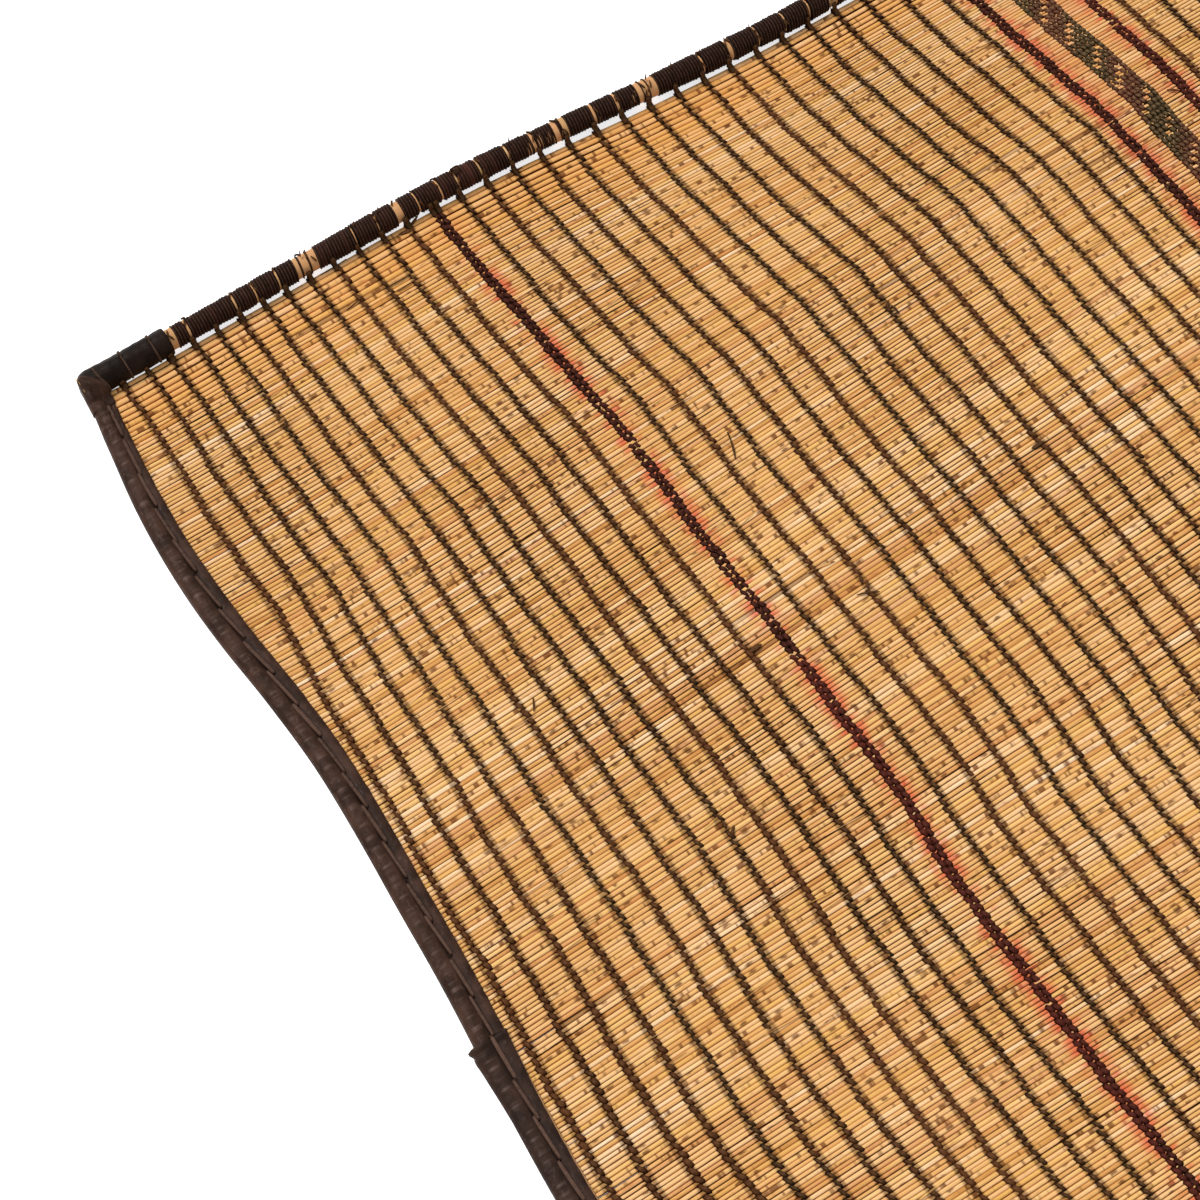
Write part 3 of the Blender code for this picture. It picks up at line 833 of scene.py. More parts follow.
parts = []
for row, row_x in enumerate(band_x):
    luck = np.random.default_rng(800 + row)
    inner = 0 < row < BAND_ROWS - 1
    count = int((2 * FIELD_HALF - ROW_ENDS) / BAND_STEP)
    y = FIELD_HALF - ROW_START - BAND_STEP * np.arange(count)
    along_run = (FIELD_HALF - y) - (BAND_ROWS - 1 - row) * BAND_STEP
    open_square = (np.mod(along_run, BAND_RUN) < BAND_STEP * 0.98) & inner
    open_square &= luck.random(count) > 0.06
    colour_wave = np.sin(2 * np.pi * ((FIELD_HALF - y) + row_x * 1.6) / COLOUR_RUN)
    tone = np.clip(0.5 + 0.55 * colour_wave + luck.normal(0.0, 0.12, count), 0.0, 1.0)
    x = row_x + line_wander(97, y) * 0.6 + luck.normal(0.0, 0.12, count)
    y = y + luck.normal(0.0, 0.12, count)
    close = y > CLOSE_DOWN_TO
    for chosen, make in ((close & ~open_square, FULL), (~close & ~open_square, SHORT)):
        many = int(chosen.sum())
        parts.append(stitches(
            make, x[chosen], y[chosen], luck.uniform(1.0, 1.5, many) * (1.0 if inner else OUTER_LEAN),
            luck.uniform(3.2, 3.7, many), BAND_HALF_WIDTH * luck.uniform(0.85, 1.12, many),
            BAND_TOP + luck.normal(0.0, 0.12, many), tone[chosen], luck.random(many),
        ))
band = new_piece("band_thongs", parts, band_look)
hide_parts("centre_band")

# ------------------------------------------------------------
# Underside of the lacing: the same thongs pass below each pair of reeds and lie flat
# between them and the ground.
# ------------------------------------------------------------
UNDER_TOP = 1.0
UNDER_LOW = 0.05
UNDER_DIVE = 1.3
UNDER_HALF_WIDTH = 1.2
DYED_HALF_WIDTH = 2.6
UNDER = (((0.0, 1.0, 1.0),), SHORT[1])

under_parts = []
for line, line_x in enumerate(plain_lines + red_lines + [-6.0, 0.0, 6.0]):
    luck = np.random.default_rng(900 + line)
    plain = line < len(plain_lines)
    y = pair_y - 0.5 * np.gradient(pair_y)
    under_parts.append(stitches(
        UNDER, line_x + line_wander(line if plain else 97, y), y,
        -STITCH_LEAN * luck.uniform(0.7, 1.3, pair_count), pair_half + 0.6,
        (UNDER_HALF_WIDTH if plain else DYED_HALF_WIDTH) * luck.uniform(0.85, 1.15, pair_count),
        np.full(pair_count, UNDER_LOW), np.full(pair_count, luck.random()), luck.random(pair_count),
        UNDER_TOP, UNDER_DIVE,
    ))
lacing_pieces.append(new_piece("lacing_underside", under_parts, lacing_look))

# ------------------------------------------------------------
# End sticks: a peeled stick closes each end. A thong is wound round it all along. At each
# lacing line the winding parts, and the line's own thongs are tied round the bare stick.
# ------------------------------------------------------------
cap_low, cap_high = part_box("head_left_cap")
CAP_RADIUS = (cap_high.z - cap_low.z) / 2 / MM
CAP_TIP = -cap_low.x / MM - 2.5
CAP_INNER = -cap_high.x / MM
AXIS_Y = HALF_LENGTH - CAP_RADIUS
STICK_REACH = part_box("head_rod")[1].x / MM
STICK_RADIUS = 6.8
STICK_SIDES = 14
WOUND_RADIUS = 8.0
SUNK_RADIUS = 6.0
HEAD_TURN = 2.1
FOOT_TURN = 3.0

all_lines = sorted([*plain_lines, *red_lines, 0.0])
# Where the head winding leaves the stick bare: the middle of the gap, and half its width.
# From GAPS_FROM on, and along the whole foot, the gaps are by chance at the ties.
HEAD_GAPS = ((-617.5, 1.7), (-605, 1.2), (-572, 1.0), (-557, 0.7), (-540, 1.0), (-520, 7.2), (-484, 0.7),
             (-468, 0.8), (-452, 1.6), (-437, 1.0), (-422, 1.1), (-408, 0.8), (-391, 1.2), (-371, 0.8),
             (-352, 0.9), (-332, 3.6), (-307, 1.0), (-290, 1.1), (-269, 5.6), (-228, 1.2), (-207, 3.2),
             (-186, 1.0), (-165, 0.8), (-147, 1.1))
GAPS_FROM = -135.0
NARROW_GAP, WIDE_GAP = 1.5, 3.0
CHANCE_GAPS = (0.0, 0.7, 1.1, 2.6)


def round_turn(sides):
    return np.linspace(0, 2 * np.pi, sides, endpoint=False)[None]


def on_rod(x, turn, radius, end):
    """Points round a stick's axis. end is 1 at the head and -1 at the foot."""
    y = AXIS_Y - rod_bow(x) + radius * np.cos(turn)
    return rows_of(x, y * end, CAP_RADIUS + radius * np.sin(turn))


def ties_of(end):
    """Where each line meets the stick."""
    return [float(laid(np.array(x), np.array(end * FIELD_HALF))[0]) for x in all_lines]


def gaps_of(end):
    """The middle and half width of each gap in a stick's winding."""
    luck = np.random.default_rng(60 + end)
    gaps = list(HEAD_GAPS) if end > 0 else []
    for at in ties_of(end):
        if abs(at) < CAP_INNER - 8 and (end < 0 or at > GAPS_FROM):
            gaps.append((at + luck.uniform(-0.5, 1.5), luck.choice(CHANCE_GAPS)))
    return [gap for gap in gaps if gap[1] > 0]


def strap(path, half_wide, half_thick, tone, across=(1.0, 0.0, 0.0), end_shade=0.2, taper=0.55):
    """A flat thong along a path."""
    path = np.asarray(path, float)
    way = np.gradient(path, axis=0)
    way /= np.linalg.norm(way, axis=1, keepdims=True)
    side = np.cross(way, np.cross(np.broadcast_to(across, path.shape), way))
    side /= np.linalg.norm(side, axis=1, keepdims=True)
    up = np.cross(side, way)
    share = np.linspace(-1.0, 1.0, len(path))
    wide = half_wide * (1 - (1 - taper) * np.abs(share) ** 3)
    # own: the top and bottom get the thong look's mix of wear and painted highlight, and end_shade sets how
    # much painted shade darkens the ends
    points, lie, own = [], [], []
    run = np.concatenate([[0.0], np.cumsum(np.linalg.norm(np.diff(path, axis=0), axis=1))])
    for out, rise in ((-1.0, 0.0), (-0.6, 1.0), (0.6, 1.0), (1.0, 0.0), (0.6, -1.0), (-0.6, -1.0)):
        points.append(path + side * (out * wide)[:, None] + up * rise * half_thick)
        lie.append(rows_of(run + 31 * tone, out * wide, tone))
        own.append(rows_of(abs(rise), end_shade * share ** 4, tone))
    return *(np.stack(kind, 1) for kind in (points, lie, own)), tube_faces(1, len(path), 6)


stick_look, tree, shader = new_look("bare_stick", Specular_IOR_Level=0.2)
along, across, *_ = read_marks(tree)
fibre, fleck = placed(tree, stem_grain, Along=along, Across=across, Stem=0.37, Fleck_Share=0.06)
bark = noise_of(along * 0.045, 3.0, 0.0)
peeled = ramp_of(fibre * 0.4 + bark * 0.8, (0.25, 118, 84, 50), (0.5, 190, 150, 98),
                 (0.62, 202, 146, 98), (0.85, 220, 186, 132))
fill(shader, {"Base Color": tinted(fleck, peeled, shade(96, 50, 26)),
              "Roughness": spread(fibre, 0.3, 0.7, 0.5, 0.65)})

winding_look = thong_look("wound_thong", (104, 72, 58), 0.75, (0.0, 22, 12, 7), (0.45, 32, 18, 12),
                          (0.8, 52, 29, 24), (1.0, 92, 54, 42))


def stick(end):
    x = np.linspace(-STICK_REACH, STICK_REACH, 91)[:, None]
    turn = round_turn(STICK_SIDES)
    radius = STICK_RADIUS + 0.15 * np.sin(x / 57 + end) + 0.1 * np.sin(2 * turn + x / 90)
    lie = rows_of(x, turn * STICK_RADIUS, 0.5)
    return on_rod(x, turn, radius, end), lie, 0 * lie, tube_faces(1, len(x), STICK_SIDES)


def winding(end, step):
    """All turns of the winding as one ridged sleeve. It is sunk under the stick in the gaps."""
    luck = np.random.default_rng(63 + end)
    turns = int(2 * (CAP_INNER + 4) / step)
    at = (np.arange(turns) + 0.5 - turns / 2) * step
    swell = WOUND_RADIUS + 0.3 * np.sin(at / 41) + 0.16 * np.sin(at / 13) + luck.normal(0, 0.14, turns)
    shown, parted = np.ones(turns, bool), np.zeros(turns, bool)
    for middle, half in gaps_of(end):
        tied = (np.abs(at - middle + 0.45 * half) < 1.3) | (np.abs(at - middle - 0.4 * half) < 1.0)
        if half > NARROW_GAP:
            shown &= (np.abs(at - middle) >= half) | (tied & (half > WIDE_GAP))
        else:
            parted[np.argmin(np.abs(at - middle))] = True
    crest = np.where(shown & ~parted, swell, SUNK_RADIUS)
    sunk = ~shown | ~np.roll(shown, 1)
    valley = np.where(sunk, SUNK_RADIUS, np.minimum(swell, np.roll(swell, 1)) - 0.5)
    tone = thong_tones(turns, luck, 8, 50) ** 1.6
    tone = np.clip(tone * 0.75 + luck.normal(0, 0.14, turns), 0, 1)
    ring_x = np.stack([at - step / 2, at], 1).reshape(-1, 1)
    ring_radius = np.stack([valley, crest], 1).reshape(-1, 1)
    turn = round_turn(STICK_SIDES)
    slant = (0.55 + 0.4 * np.sin(ring_x / 29)) * np.cos(turn + 0.8 * np.sin(ring_x / 83))
    points = on_rod(ring_x + slant, turn, ring_radius + 0.06 * np.sin(3 * turn + ring_x), end)
    ring_tone = np.repeat(tone, 2)[:, None]
    # Each turn's crest gets the thong look's mix of wear and painted highlight
    crown = np.tile([0.0, 1.0], turns)[:, None]
    return (points, rows_of(ring_x, turn * WOUND_RADIUS, ring_tone),
            rows_of(crown, 0.2 + 0 * turn, ring_tone), tube_faces(1, 2 * turns, STICK_SIDES))


def down_to_reeds(x, edge_y, end):
    """A tie's way from the stick down over the first reeds."""
    return [(x, edge_y + end * 0.4, 6.0), (x, edge_y - end * 2.2, 5.6), (x, edge_y - end * 5.0, 4.8)]


tie_parts = []
for end_name, end, step in (("head", 1, HEAD_TURN), ("foot", -1, FOOT_TURN)):
    piece = new_piece(f"{end_name}_stick", [stick(end)], stick_look)
    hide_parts(f"{end_name}_rod")
    piece = new_piece(f"{end_name}_winding", [winding(end, step)], winding_look)
    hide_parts(f"{end_name}_rod_winding")

    # Ties: a cord round each gap, and the line's thongs from the stick down to the first reeds
    luck = np.random.default_rng(66 + end)
    for middle, half in gaps_of(end):
        for _ in range(4 if half > WIDE_GAP else 2):
            turn = luck.uniform(0.6, 2.9) + np.linspace(-0.3, 0.3, 5)
            x = middle + luck.uniform(-0.8, 0.8) * half + np.linspace(-0.9, 0.9, 5) * luck.choice([-1, 1])
            tie_parts.append(strap(on_rod(x, turn, 7.9, end), 0.6, 0.6, luck.random()))
    for line_x, at in zip(all_lines, ties_of(end)):
        tone = luck.random()
        edge_y = float(laid(np.array(line_x), np.array(end * REEDS_HALF))[1])
        hidden = abs(at) > CAP_INNER - 2
        turns = np.radians([170, 186] if hidden else [156, 168, 180, 192])
        radius = CAP_RADIUS + 0.2 if hidden else WOUND_RADIUS + 0.6
        for row in (-2.0, 2.0) if line_x in red_lines else (0.0,):
            start = on_rod(np.linspace(at - 0.9, at - 0.4, len(turns)) + row, turns, radius, end)
            down = down_to_reeds(at + row + luck.uniform(-0.4, 0.4), edge_y, end)
            wide = luck.uniform(1.7, 2.3)
            tie_parts.append(strap([*start, *down], wide, 0.6, 0.4 * tone, taper=0.85))
        if luck.random() < 0.5 and not hidden:
            whisker = on_rod(at + luck.uniform(-1, 4) + np.array([0.0, 0.6, 1.6]), np.radians([80, 74, 66]),
                             np.array([8.2, 9.8, 11.6]), end)
            tie_parts.append(strap(whisker, 0.6, 0.4, tone, taper=0.3))

# The middle band's thongs, tied round both sticks in one broad tie
turns = np.radians([60, 90, 120, 150, 175, 190])
for end in (1, -1):
    at, edge_y = (float(v) for v in laid(np.array(0.0), np.array(end * REEDS_HALF)))
    for row, row_x in enumerate(band_x):
        start = on_rod(at + row_x, turns, WOUND_RADIUS + 0.7, end)
        tie_parts.append(strap([*start, *down_to_reeds(at + row_x, edge_y, end)], 1.5, 0.6, 0.15 * row))

# A loop of spare thong that stands up behind the head stick
LOOP_AT = -407.0
round_loop = np.linspace(0.0, 2 * np.pi, 15)
loop = on_rod(LOOP_AT + 3.4 * np.cos(round_loop), np.radians(76) - 0.2 * np.sin(round_loop),
              9.6 + 0.8 * np.cos(round_loop), 1)
tie_parts.append(strap(loop, 0.7, 0.5, 0.3, across=(0.0, 0.0, 1.0), taper=0.9))
new_piece("stick_ties", tie_parts, lacing_look)

# ------------------------------------------------------------
# Corner caps: a wet leather sleeve drawn over each end of a stick and left to shrink on. It
# is bound with thin thongs, and folded slantwise over the end of the side binding.
# ------------------------------------------------------------
CAP_SIDES = 28
CAP_THONGS = (31.5, 51.5)
# The sleeve's radius at each distance from its tip, and then round its rim and back inside
CAP_FROM_TIP = (0, 0.8, 2.0, 3.6, 5.4, 8, 12, 32, 50, 61)
CAP_PROFILE = (4.2, 6.2, 7.6, 8.5, 9.0, 9.3, 9.35, 9.15, 9.2, 9.35)
RIM_FROM_TIP = (61.2, 62.0, 61.8, 57.0)
RIM_PROFILE = (9.3, 8.9, 8.5, 8.4)

leather_skin, along, across, dark, pale, scuff_and_sheen = new_group(
    "leather_skin", Along=0.0, Across=0.0, Dark=(0.02, 0.02, 0.02, 1.0), Pale=(0.1, 0.1, 0.1, 1.0),
    Scuff=(0.2, 0.2, 0.2, 1.0))
cloud = noise_of(along, across, 0.0, 3.0, 0.6, 0.06)
crease = noise_of(along * 0.22, across * 0.45, 4.0, 4.0, 0.65)
pore = noise_of(along, across, 0.0, 2.0, 0.5, 1.3)
colour = tinted(spread(crease, 0.55, 0.75, 0.0, 0.5), tinted(spread(cloud, 0.35, 0.68), dark, pale), scuff_and_sheen)
give_out(leather_skin, Colour=colour, Roughness=spread(crease, 0.3, 0.7, 0.56, 0.4),
         Height=pore * 0.25 + crease)


def leather_look(name, dark, pale, scuff_and_sheen):
    """Worn leather, cloudy and creased, with painted shade in its crease and underneath, and a painted
    highlight on its highest places.
    """
    made, tree, shader = new_look(name, Specular_IOR_Level=0.08)
    along, across, _, painted_shade, on_crown, _ = read_marks(tree)
    dark, pale, scuff_and_sheen = shade(*dark), shade(*pale), shade(*scuff_and_sheen)
    colour, roughness, height = placed(
        tree, leather_skin, Along=along, Across=across, Dark=dark, Pale=pale, Scuff=scuff_and_sheen)
    # Painted shade in the strip's crease, at its edges and on its hidden underside
    colour = tinted(painted_shade, colour, shade(24, 13, 8))
    # The fold's crown is puckered, and each pucker's top gets a painted highlight in the scuff colour
    pucker_highlight = spread(noise_of(along, 0.0, 8.0, 2.0, 0.5, 0.24), 0.5, 0.68, 0.0, 0.75)
    colour = tinted(on_crown * pucker_highlight, colour, scuff_and_sheen)
    fill(shader, {"Base Color": colour, "Roughness": roughness, "Normal": bump_of(height, 0.0006, 0.6)})
    return made


cap_look = leather_look("cap_leather", (20, 12, 8), (35, 23, 17), (56, 40, 31))
cap_thong_look = thong_look("cap_thong", (104, 80, 66), 0.6, (0.0, 38, 26, 20), (1.0, 74, 54, 44))

cap_thong_parts = []
for end_name, end in (("head", 1), ("foot", -1)):
    for side_name, side in (("left", -1), ("right", 1)):
        from_tip = np.concatenate([[0.0, 0.8, 2.0, 3.6, 5.4], np.arange(7.2, 61.0, 1.5)])
        radius = np.interp(from_tip, CAP_FROM_TIP, CAP_PROFILE)
        from_tip = np.concatenate([from_tip, RIM_FROM_TIP])[:, None]
        radius = np.concatenate([radius, RIM_PROFILE])[:, None]
        turn = round_turn(CAP_SIDES)
        body = ease(from_tip / 6) * ease((61 - from_tip) / 4)
        wrinkle = 0.14 * np.sin(3 * turn + from_tip / 9) + 0.1 * np.sin(5 * turn - from_tip / 5)
        wrinkle = wrinkle + 0.12 * np.sin(from_tip * 0.9 + 2 * np.sin(turn)) - 0.1
        for place in CAP_THONGS:
            wrinkle = wrinkle - 0.45 * np.exp(-((from_tip - place) / 1.3) ** 2)
        points = on_rod(side * (CAP_TIP - from_tip), turn, radius + body * wrinkle, end)
        lie = rows_of(from_tip, turn * CAP_RADIUS, 0.5)
        cap = new_piece(f"{end_name}_{side_name}_sleeve",
                        [(points, lie, 0 * lie, tube_faces(1, len(from_tip), CAP_SIDES))],
                        cap_look)
        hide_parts(f"{end_name}_{side_name}_cap")

        # Thin thongs round the sleeve, each with its end standing up, and the slanting fold
        for place in CAP_THONGS:
            turn = np.linspace(1.35, 1.35 + 2 * np.pi, 23)
            x = side * (CAP_TIP - place + 0.7 * np.sin(turn))
            cap_thong_parts.append(strap(on_rod(x, turn, 9.05, end), 0.85, 0.55, 0.6))
            nub = on_rod(side * (CAP_TIP - place + np.array([0.0, 0.4, 0.5])),
                         np.radians([82, 72, 62]), np.array([9.0, 10.2, 11.4]), end)
            cap_thong_parts.append(strap(nub, 0.8, 0.5, 0.4))
        turn = np.radians(np.linspace(62, 215, 14))
        x = side * (CAP_TIP - 12.0 - 3.4 * ease((turn - 1.6) / 1.4))
        cap_thong_parts.append(strap(on_rod(x, turn, 9.5, end), 0.9, 0.6, 0.3))
new_piece("sleeve_thongs", cap_thong_parts, cap_thong_look)

# ------------------------------------------------------------
# Side bindings: leather strips folded round the reed ends, about 20 mm wide, each side of two
# lengths. The outer fold is puffed up over the ends, the inner part lies flat. A thong runs
# through both in long slanting stitches. The longer strip laps over the shorter as a collar.
# ------------------------------------------------------------
COLLAR_AT = HALF_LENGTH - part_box("left_binding_long")[1].y / MM + 4.0
SHORT_END = HALF_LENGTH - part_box("left_binding_short")[0].y / MM
FOLD_STEP = 4.0
CREASE_STEP = 1.6
CREASES_DOWN_TO = 66.0
CREASE_PITCH = 6.6
ROLL_WIDTH = 9.0

# The folded strip's section: distance in from its outer edge, height, and how much painted shade darkens it
SECTION = (
    (20.0, 5.3, 0.2), (19.6, 5.9, 0.0), (16.8, 6.1, 0.0), (14.0, 6.0, 0.15), (12.5, 5.2, 0.9),
    (11.6, 6.1, 0.5), (10.0, 7.4, 0.0), (7.6, 8.1, 0.0), (5.0, 8.2, 0.0), (2.6, 7.4, 0.0),
    (0.9, 5.8, 0.0), (0.0, 3.9, 0.1), (0.5, 1.8, 0.3), (2.2, 0.2, 0.6), (9.0, 0.05, 0.6),
    (20.0, 0.05, 0.6), (20.0, 1.1, 0.6), (8.4, 1.1, 0.8), (8.4, 4.6, 0.8), (20.0, 4.7, 0.6),
)
TOP_ROWS = 12
section_in, section_up, section_shade = np.array(SECTION).T

# The collar: how far the longer strip's end is puffed out at each distance below the head
COLLAR_BELOW = (494.0, 494.8, 496.3, 497.8, 498.8, 500.5, 503.0, 508.0, 516.0, 526.0, 540.0)
COLLAR_PUFF = (1.0, 1.4, 1.35, 1.0, 0.78, 0.95, 0.95, 0.7, 0.5, 0.25, 0.0)
COLLAR_RISE = 3.3
COLLAR_LIFT = 1.4


def across_strip(inward, below_head):
    """The section's own width, drawn in where the strip is narrower near the corner."""
    width = BINDING_WIDTH * np.interp(below_head, (0, 20, 60, 100, 170), (0.7, 0.74, 0.8, 0.9, 1.0))
    narrowed = (width - ROLL_WIDTH) / (BINDING_WIDTH - ROLL_WIDTH)
    return np.where(inward > ROLL_WIDTH, ROLL_WIDTH + (inward - ROLL_WIDTH) * narrowed, inward)


def on_side(inward, below_head, height, side):
    """Points by their distance in from the side's outer edge."""
    x = -(MEAN_HALF + edge_out(below_head)) + inward
    return rows_of(x * -side, (HALF_LENGTH - below_head) * -side, height)


def folded_strip(side, start, stop, collar):
    """A length of the folded strip, with its puffs and creases."""
    luck = np.random.default_rng(71 + int(start) + side)
    fine = np.arange(start, CREASES_DOWN_TO, CREASE_STEP) if start < CREASES_DOWN_TO else []
    collar_rows = [b for b in COLLAR_BELOW if b > start] if collar else []
    rest_start = max([start, *fine, *collar_rows])
    rest = np.arange(rest_start + FOLD_STEP, stop - 1.0, FOLD_STEP)
    below = np.unique(np.concatenate([[start], fine, collar_rows, rest, [stop]]))[:, None]
    inward = across_strip(section_in[None], below) + np.zeros((len(below), 1))
    up = section_up + np.zeros((len(below), 1))
    on_roll = (section_up > 5.4) & (section_in < 11)
    puff = luck.normal(0.0, 0.17, len(below))
    puff = (puff + 0.5 * np.roll(puff, 1) + 0.35 * np.sin(below[:, 0] / 23)) * (below[:, 0] > 30)
    up[:, on_roll] += puff[:, None]
    crease = np.sin(2 * np.pi * below / CREASE_PITCH + inward * 0.25)
    up += 0.42 * crease * (1 - ease((below - 38) / 24)) * (section_up > 4.9)
    uneven = luck.normal(0.0, 0.16, (len(below), 1))
    inward[:, :TOP_ROWS] += uneven * (section_in[:TOP_ROWS] > 15)
    if collar:
        raised = np.interp(below, COLLAR_BELOW, COLLAR_PUFF) * COLLAR_RISE
        inward = inward - raised * (1 - inward / 16)
        up = up + 0.5 * raised * (section_up > 1.5)
    arc = np.cumsum(np.hypot(np.diff(section_in, prepend=20), np.diff(section_up, prepend=5.3)))
    on_crown = (section_in == 5.0) + 0.5 * (section_in == 7.6)
    return (on_side(inward, below, up, side), rows_of(below, arc, 0.5),
            rows_of(section_shade + 0 * below, on_crown, 0.0), tube_faces(1, len(below), len(SECTION)))


short_look = leather_look("short_strip_leather", (44, 28, 20), (70, 48, 38), (104, 82, 74))
long_look = leather_look("long_strip_leather", (38, 25, 19), (60, 42, 34), (104, 84, 78))


def corner_flap(side, end):
    """The short strip's end, drawn up over the sleeve's tip and cut off slantwise."""
    below = np.linspace(4.2, 27.0, 26)[:, None]
    outer = np.interp(below, (4.2, 7.0, 12.0, 27.0), (CAP_TIP - 1.6, CAP_TIP + 0.4, CAP_TIP + 0.7, 683.6))
    inner = np.interp(below, (4.2, 17.5, 27.0), (CAP_TIP - 2.2, 667.0, 667.4))
    share = np.array([0.0, 0.0, 0.02, 0.1, 0.22, 0.36, 0.52, 0.68, 0.84, 0.96, 1.0])[None]
    outward = outer + (inner - outer) * share
    from_axis = below - (HALF_LENGTH - AXIS_Y)
    reach = np.interp(CAP_TIP - outward, (-1.0, 0.8, 2.0, 3.6, 5.4, 8.0), (4.6, 6.4, 7.8, 8.6, 9.1, 9.4))
    on_cap = CAP_RADIUS + np.sqrt(np.maximum(reach ** 2 - from_axis ** 2, 0.0))
    on_strip = np.interp(share, (0.0, 0.1, 0.4, 0.7, 1.0), (4.5, 7.2, 8.0, 6.2, 6.0))
    slope = CAP_RADIUS + 3.0 - 2.2 * np.maximum(from_axis - reach, 0.0)
    top = np.maximum(on_cap * (from_axis < reach), slope * (from_axis >= reach - 2))
    top = np.maximum(top, on_strip) + 0.75 + 0.25 * np.sin(1.1 * below + 0.5 * outward)
    top[:, :1] = 2.0
    top[:, 1:2] = 0.62 * top[:, 3:4]
    low = np.maximum(top - 1.3, 1.0)
    along = (HALF_LENGTH - below) * end
    upper = rows_of(outward * side, along, top)
    lower = rows_of((outward - 0.8 * (share < 0.05)) * side, along, low)[:, ::-1]
    across = np.concatenate([share, share[:, ::-1]], 1) * 15
    lie = rows_of(below, across, 0.5)
    return np.concatenate([upper, lower], 1), lie, 0 * lie, tube_faces(1, len(below), 2 * share.size)


flaps = [corner_flap(side, end) for side in (-1, 1) for end in (-1, 1)]
new_piece("corner_flaps", flaps, short_look)

for side_name, side in (("left", -1), ("right", 1)):
    for length_name, start, stop, look in (
        ("short", FIELD_START, SHORT_END, short_look),
        ("long", COLLAR_AT, LENGTH - FIELD_START, long_look),
    ):
        strip = folded_strip(side, start, stop, length_name == "long")
        folded = new_piece(f"{side_name}_{length_name}_strip", [strip], look)
        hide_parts(f"{side_name}_binding_{length_name}")

# The thong through both layers: long stitches that start by the roll and slant inwards
STITCH_PITCH = 26.0
STITCH_RISE = (-0.8, 0.45, 0.75, 0.8, 0.75, 0.45, -0.8)
run = np.array([0.0, 0.1, 0.3, 0.5, 0.7, 0.9, 1.0])
stitch_parts, edge_parts = [], []
for side in (-1, 1):
    luck = np.random.default_rng(81 + side)
    for first in np.arange(24.0, LENGTH - 50.0, STITCH_PITCH):
        below = first + luck.uniform(-2, 2) + run * luck.uniform(26, 31)
        inward = luck.uniform(11.0, 11.7) + run * luck.uniform(2.0, 3.0)
        rise = np.interp(inward, section_in[TOP_ROWS - 1::-1], section_up[TOP_ROWS - 1::-1]) + STITCH_RISE
        rise = np.maximum(rise, np.where((run > 0.05) & (run < 0.95), 6.3, 4.0))
        rise += COLLAR_LIFT * ((below > COLLAR_BELOW[0]) & (below < 512))
        path = on_side(across_strip(inward, below), below, rise, side)
        # Full painted shade at each stitch's ends, where it goes into its holes
        stitch_parts.append(strap(path, luck.uniform(1.15, 1.5), 0.65, luck.random(), end_shade=1.0, taper=0.7))
    # The longer strip's raw inner edge shows as a thin paler line by the collar
    below = np.linspace(495.0, 640.0, 40)
    inward = across_strip(np.full(40, BINDING_WIDTH), below) + luck.normal(0.0, 0.08, 40)
    edge_parts.append(strap(on_side(inward, below, 5.5, side), 0.5, 0.45, luck.random()))
stitch_look = thong_look("strip_thong", (116, 92, 80), 0.6, (0.0, 54, 37, 29), (1.0, 82, 60, 50))
new_piece("strip_stitching", stitch_parts, stitch_look)
raw_look = thong_look("raw_edge", (206, 160, 112), 0.5, (0.0, 120, 84, 54), (1.0, 168, 122, 80))
new_piece("raw_edges", edge_parts, raw_look)

# ------------------------------------------------------------
# Loose ends: thong tails where a line has broken or was pieced, and splinters that have
# come up from the reeds.
# ------------------------------------------------------------
TAIL_TOP = 4.6

tail_parts = []
luck = np.random.default_rng(91)
run = np.linspace(0.0, 1.0, 4)
for line, low, high in BREAKS:
    for below, way in ((low, 1), (high, -1)):
        x = plain_lines[line] + float(line_wander(line, HALF_LENGTH - below))
        lean = luck.uniform(-4.5, 4.5)
        path = laid_points(x + lean * run ** 1.5, HALF_LENGTH - below + way * (2 - 5.0 * run),
                           TAIL_TOP + 0.6 * np.sin(3 * run) - run)
        tail_parts.append(strap(path, 1.1, 0.5, luck.random(), taper=0.4))
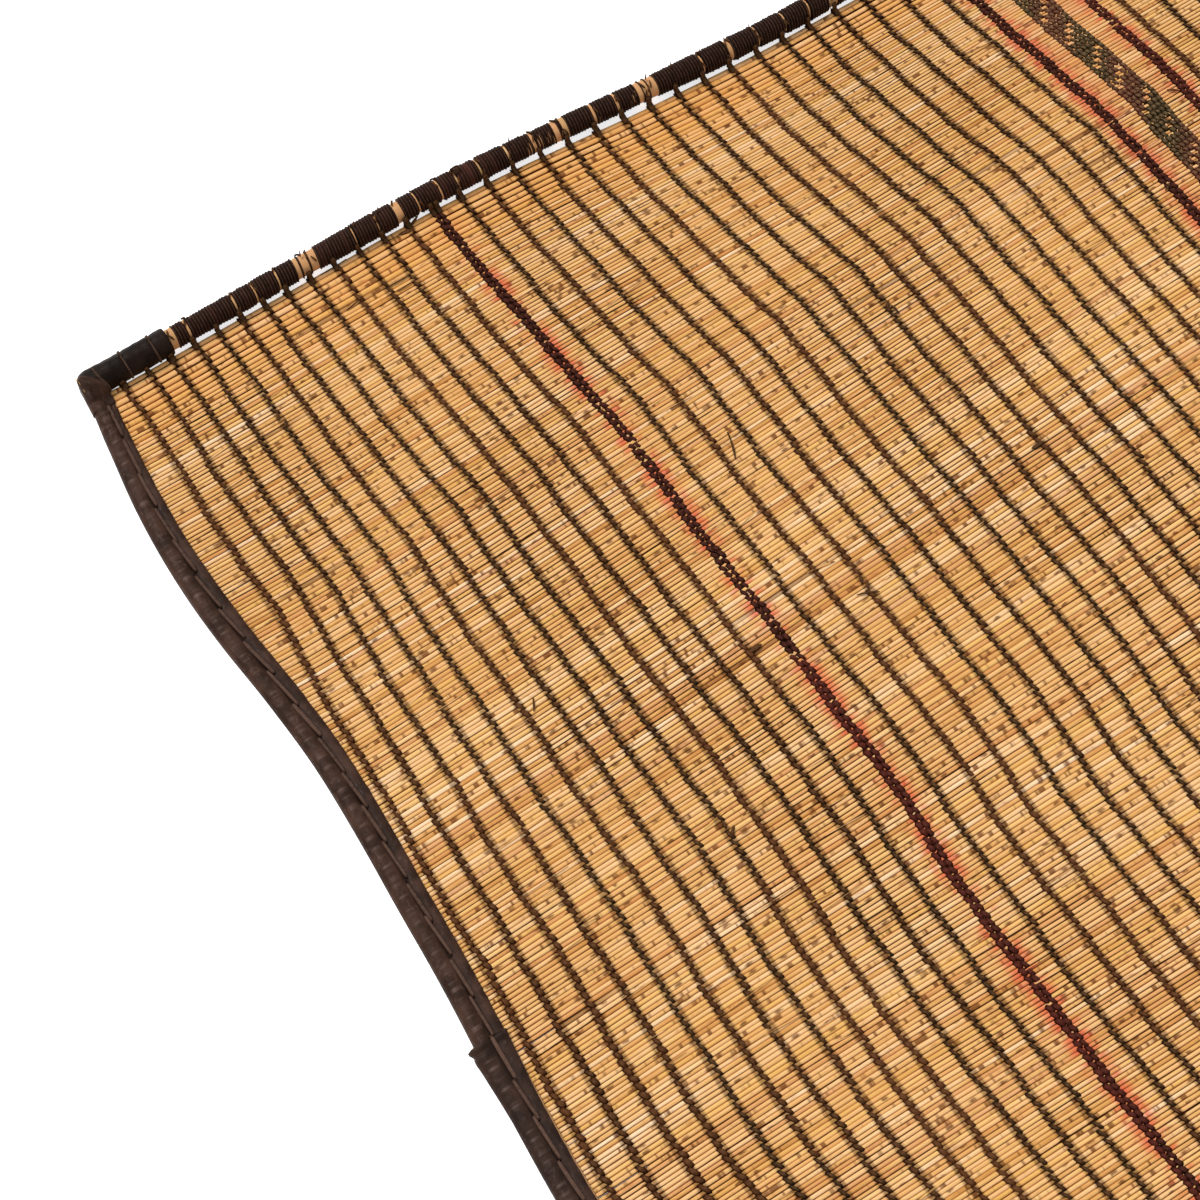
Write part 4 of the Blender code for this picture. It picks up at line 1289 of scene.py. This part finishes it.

# Tails and flat scraps, listed one by one: x, below the head, way round from +X in degrees, length, half
# width
TAILS = (
    (-368, 262, 70, 19, 0.8), (-357, 389, 155, 14, 0.7), (-434, 381, 0, 9, 1.6), (-212, 366, 0, 9, 1.5),
    (-447, 19, 24, 15, 1.0), (-453, 22, -8, 9, 1.4), (-476, 50, 0, 17, 0.6), (-474, 55.5, 2, 14, 0.5),
    (-508, 48.5, 12, 13, 0.45), (-521, 30.5, 8, 12, 0.4), (-505, 18.5, 2, 20, 0.35),
    (-28, 190, 68, 9, 0.9), (19, 208, 140, 8, 0.8), (-30, 264, 28, 6, 0.9), (-148, 70, 80, 7, 0.8),
    (-228, 240, 95, 8, 0.8), (-563, 338, 60, 9, 0.7),
)
run = np.linspace(-0.5, 0.5, 6)
for x, below, heading, length, half_wide in TAILS:
    heading = math.radians(heading)
    bend = 0.12 * length * (run ** 2 - 0.1)
    path = rows_of(
        x + length * run * math.cos(heading) - bend * math.sin(heading),
        HALF_LENGTH - below + length * run * math.sin(heading) + bend * math.cos(heading),
        TAIL_TOP + 0.25 * np.cos(5 * run),
    )
    tail_parts.append(strap(path, half_wide, 0.4, luck.random(), across=(0.3, 1.0, 0.0), taper=0.35))
new_piece("thong_tails", tail_parts, lacing_look)

SPLINTERS = 220
SPLINTER_TOP = 3.75
splinter_parts = []
run = np.linspace(-0.5, 0.5, 5)
for _ in range(SPLINTERS):
    x, y = luck.uniform(-640, 640), luck.uniform(-1000, 1010)
    if luck.random() < 0.5:
        x, y = luck.uniform(-640, 60), luck.uniform(350, 1010)
    length = luck.uniform(6, 34)
    heading = luck.normal(0.0, 0.07)
    path = laid_points(x + length * run, y + length * run * heading, SPLINTER_TOP + 0.3 * np.cos(4 * run))
    points, _, _, faces = strap(path, luck.uniform(0.25, 0.6), 0.3, luck.random(), across=(0.0, 1.0, 0.0))
    lie = rows_of(x + length * run.repeat(6), y, 1.0)
    own = rows_of(luck.random() + 0 * run.repeat(6), luck.random(), 0.0)
    splinter_parts.append((points, lie, own, faces))
new_piece("reed_splinters", splinter_parts, reed_look)
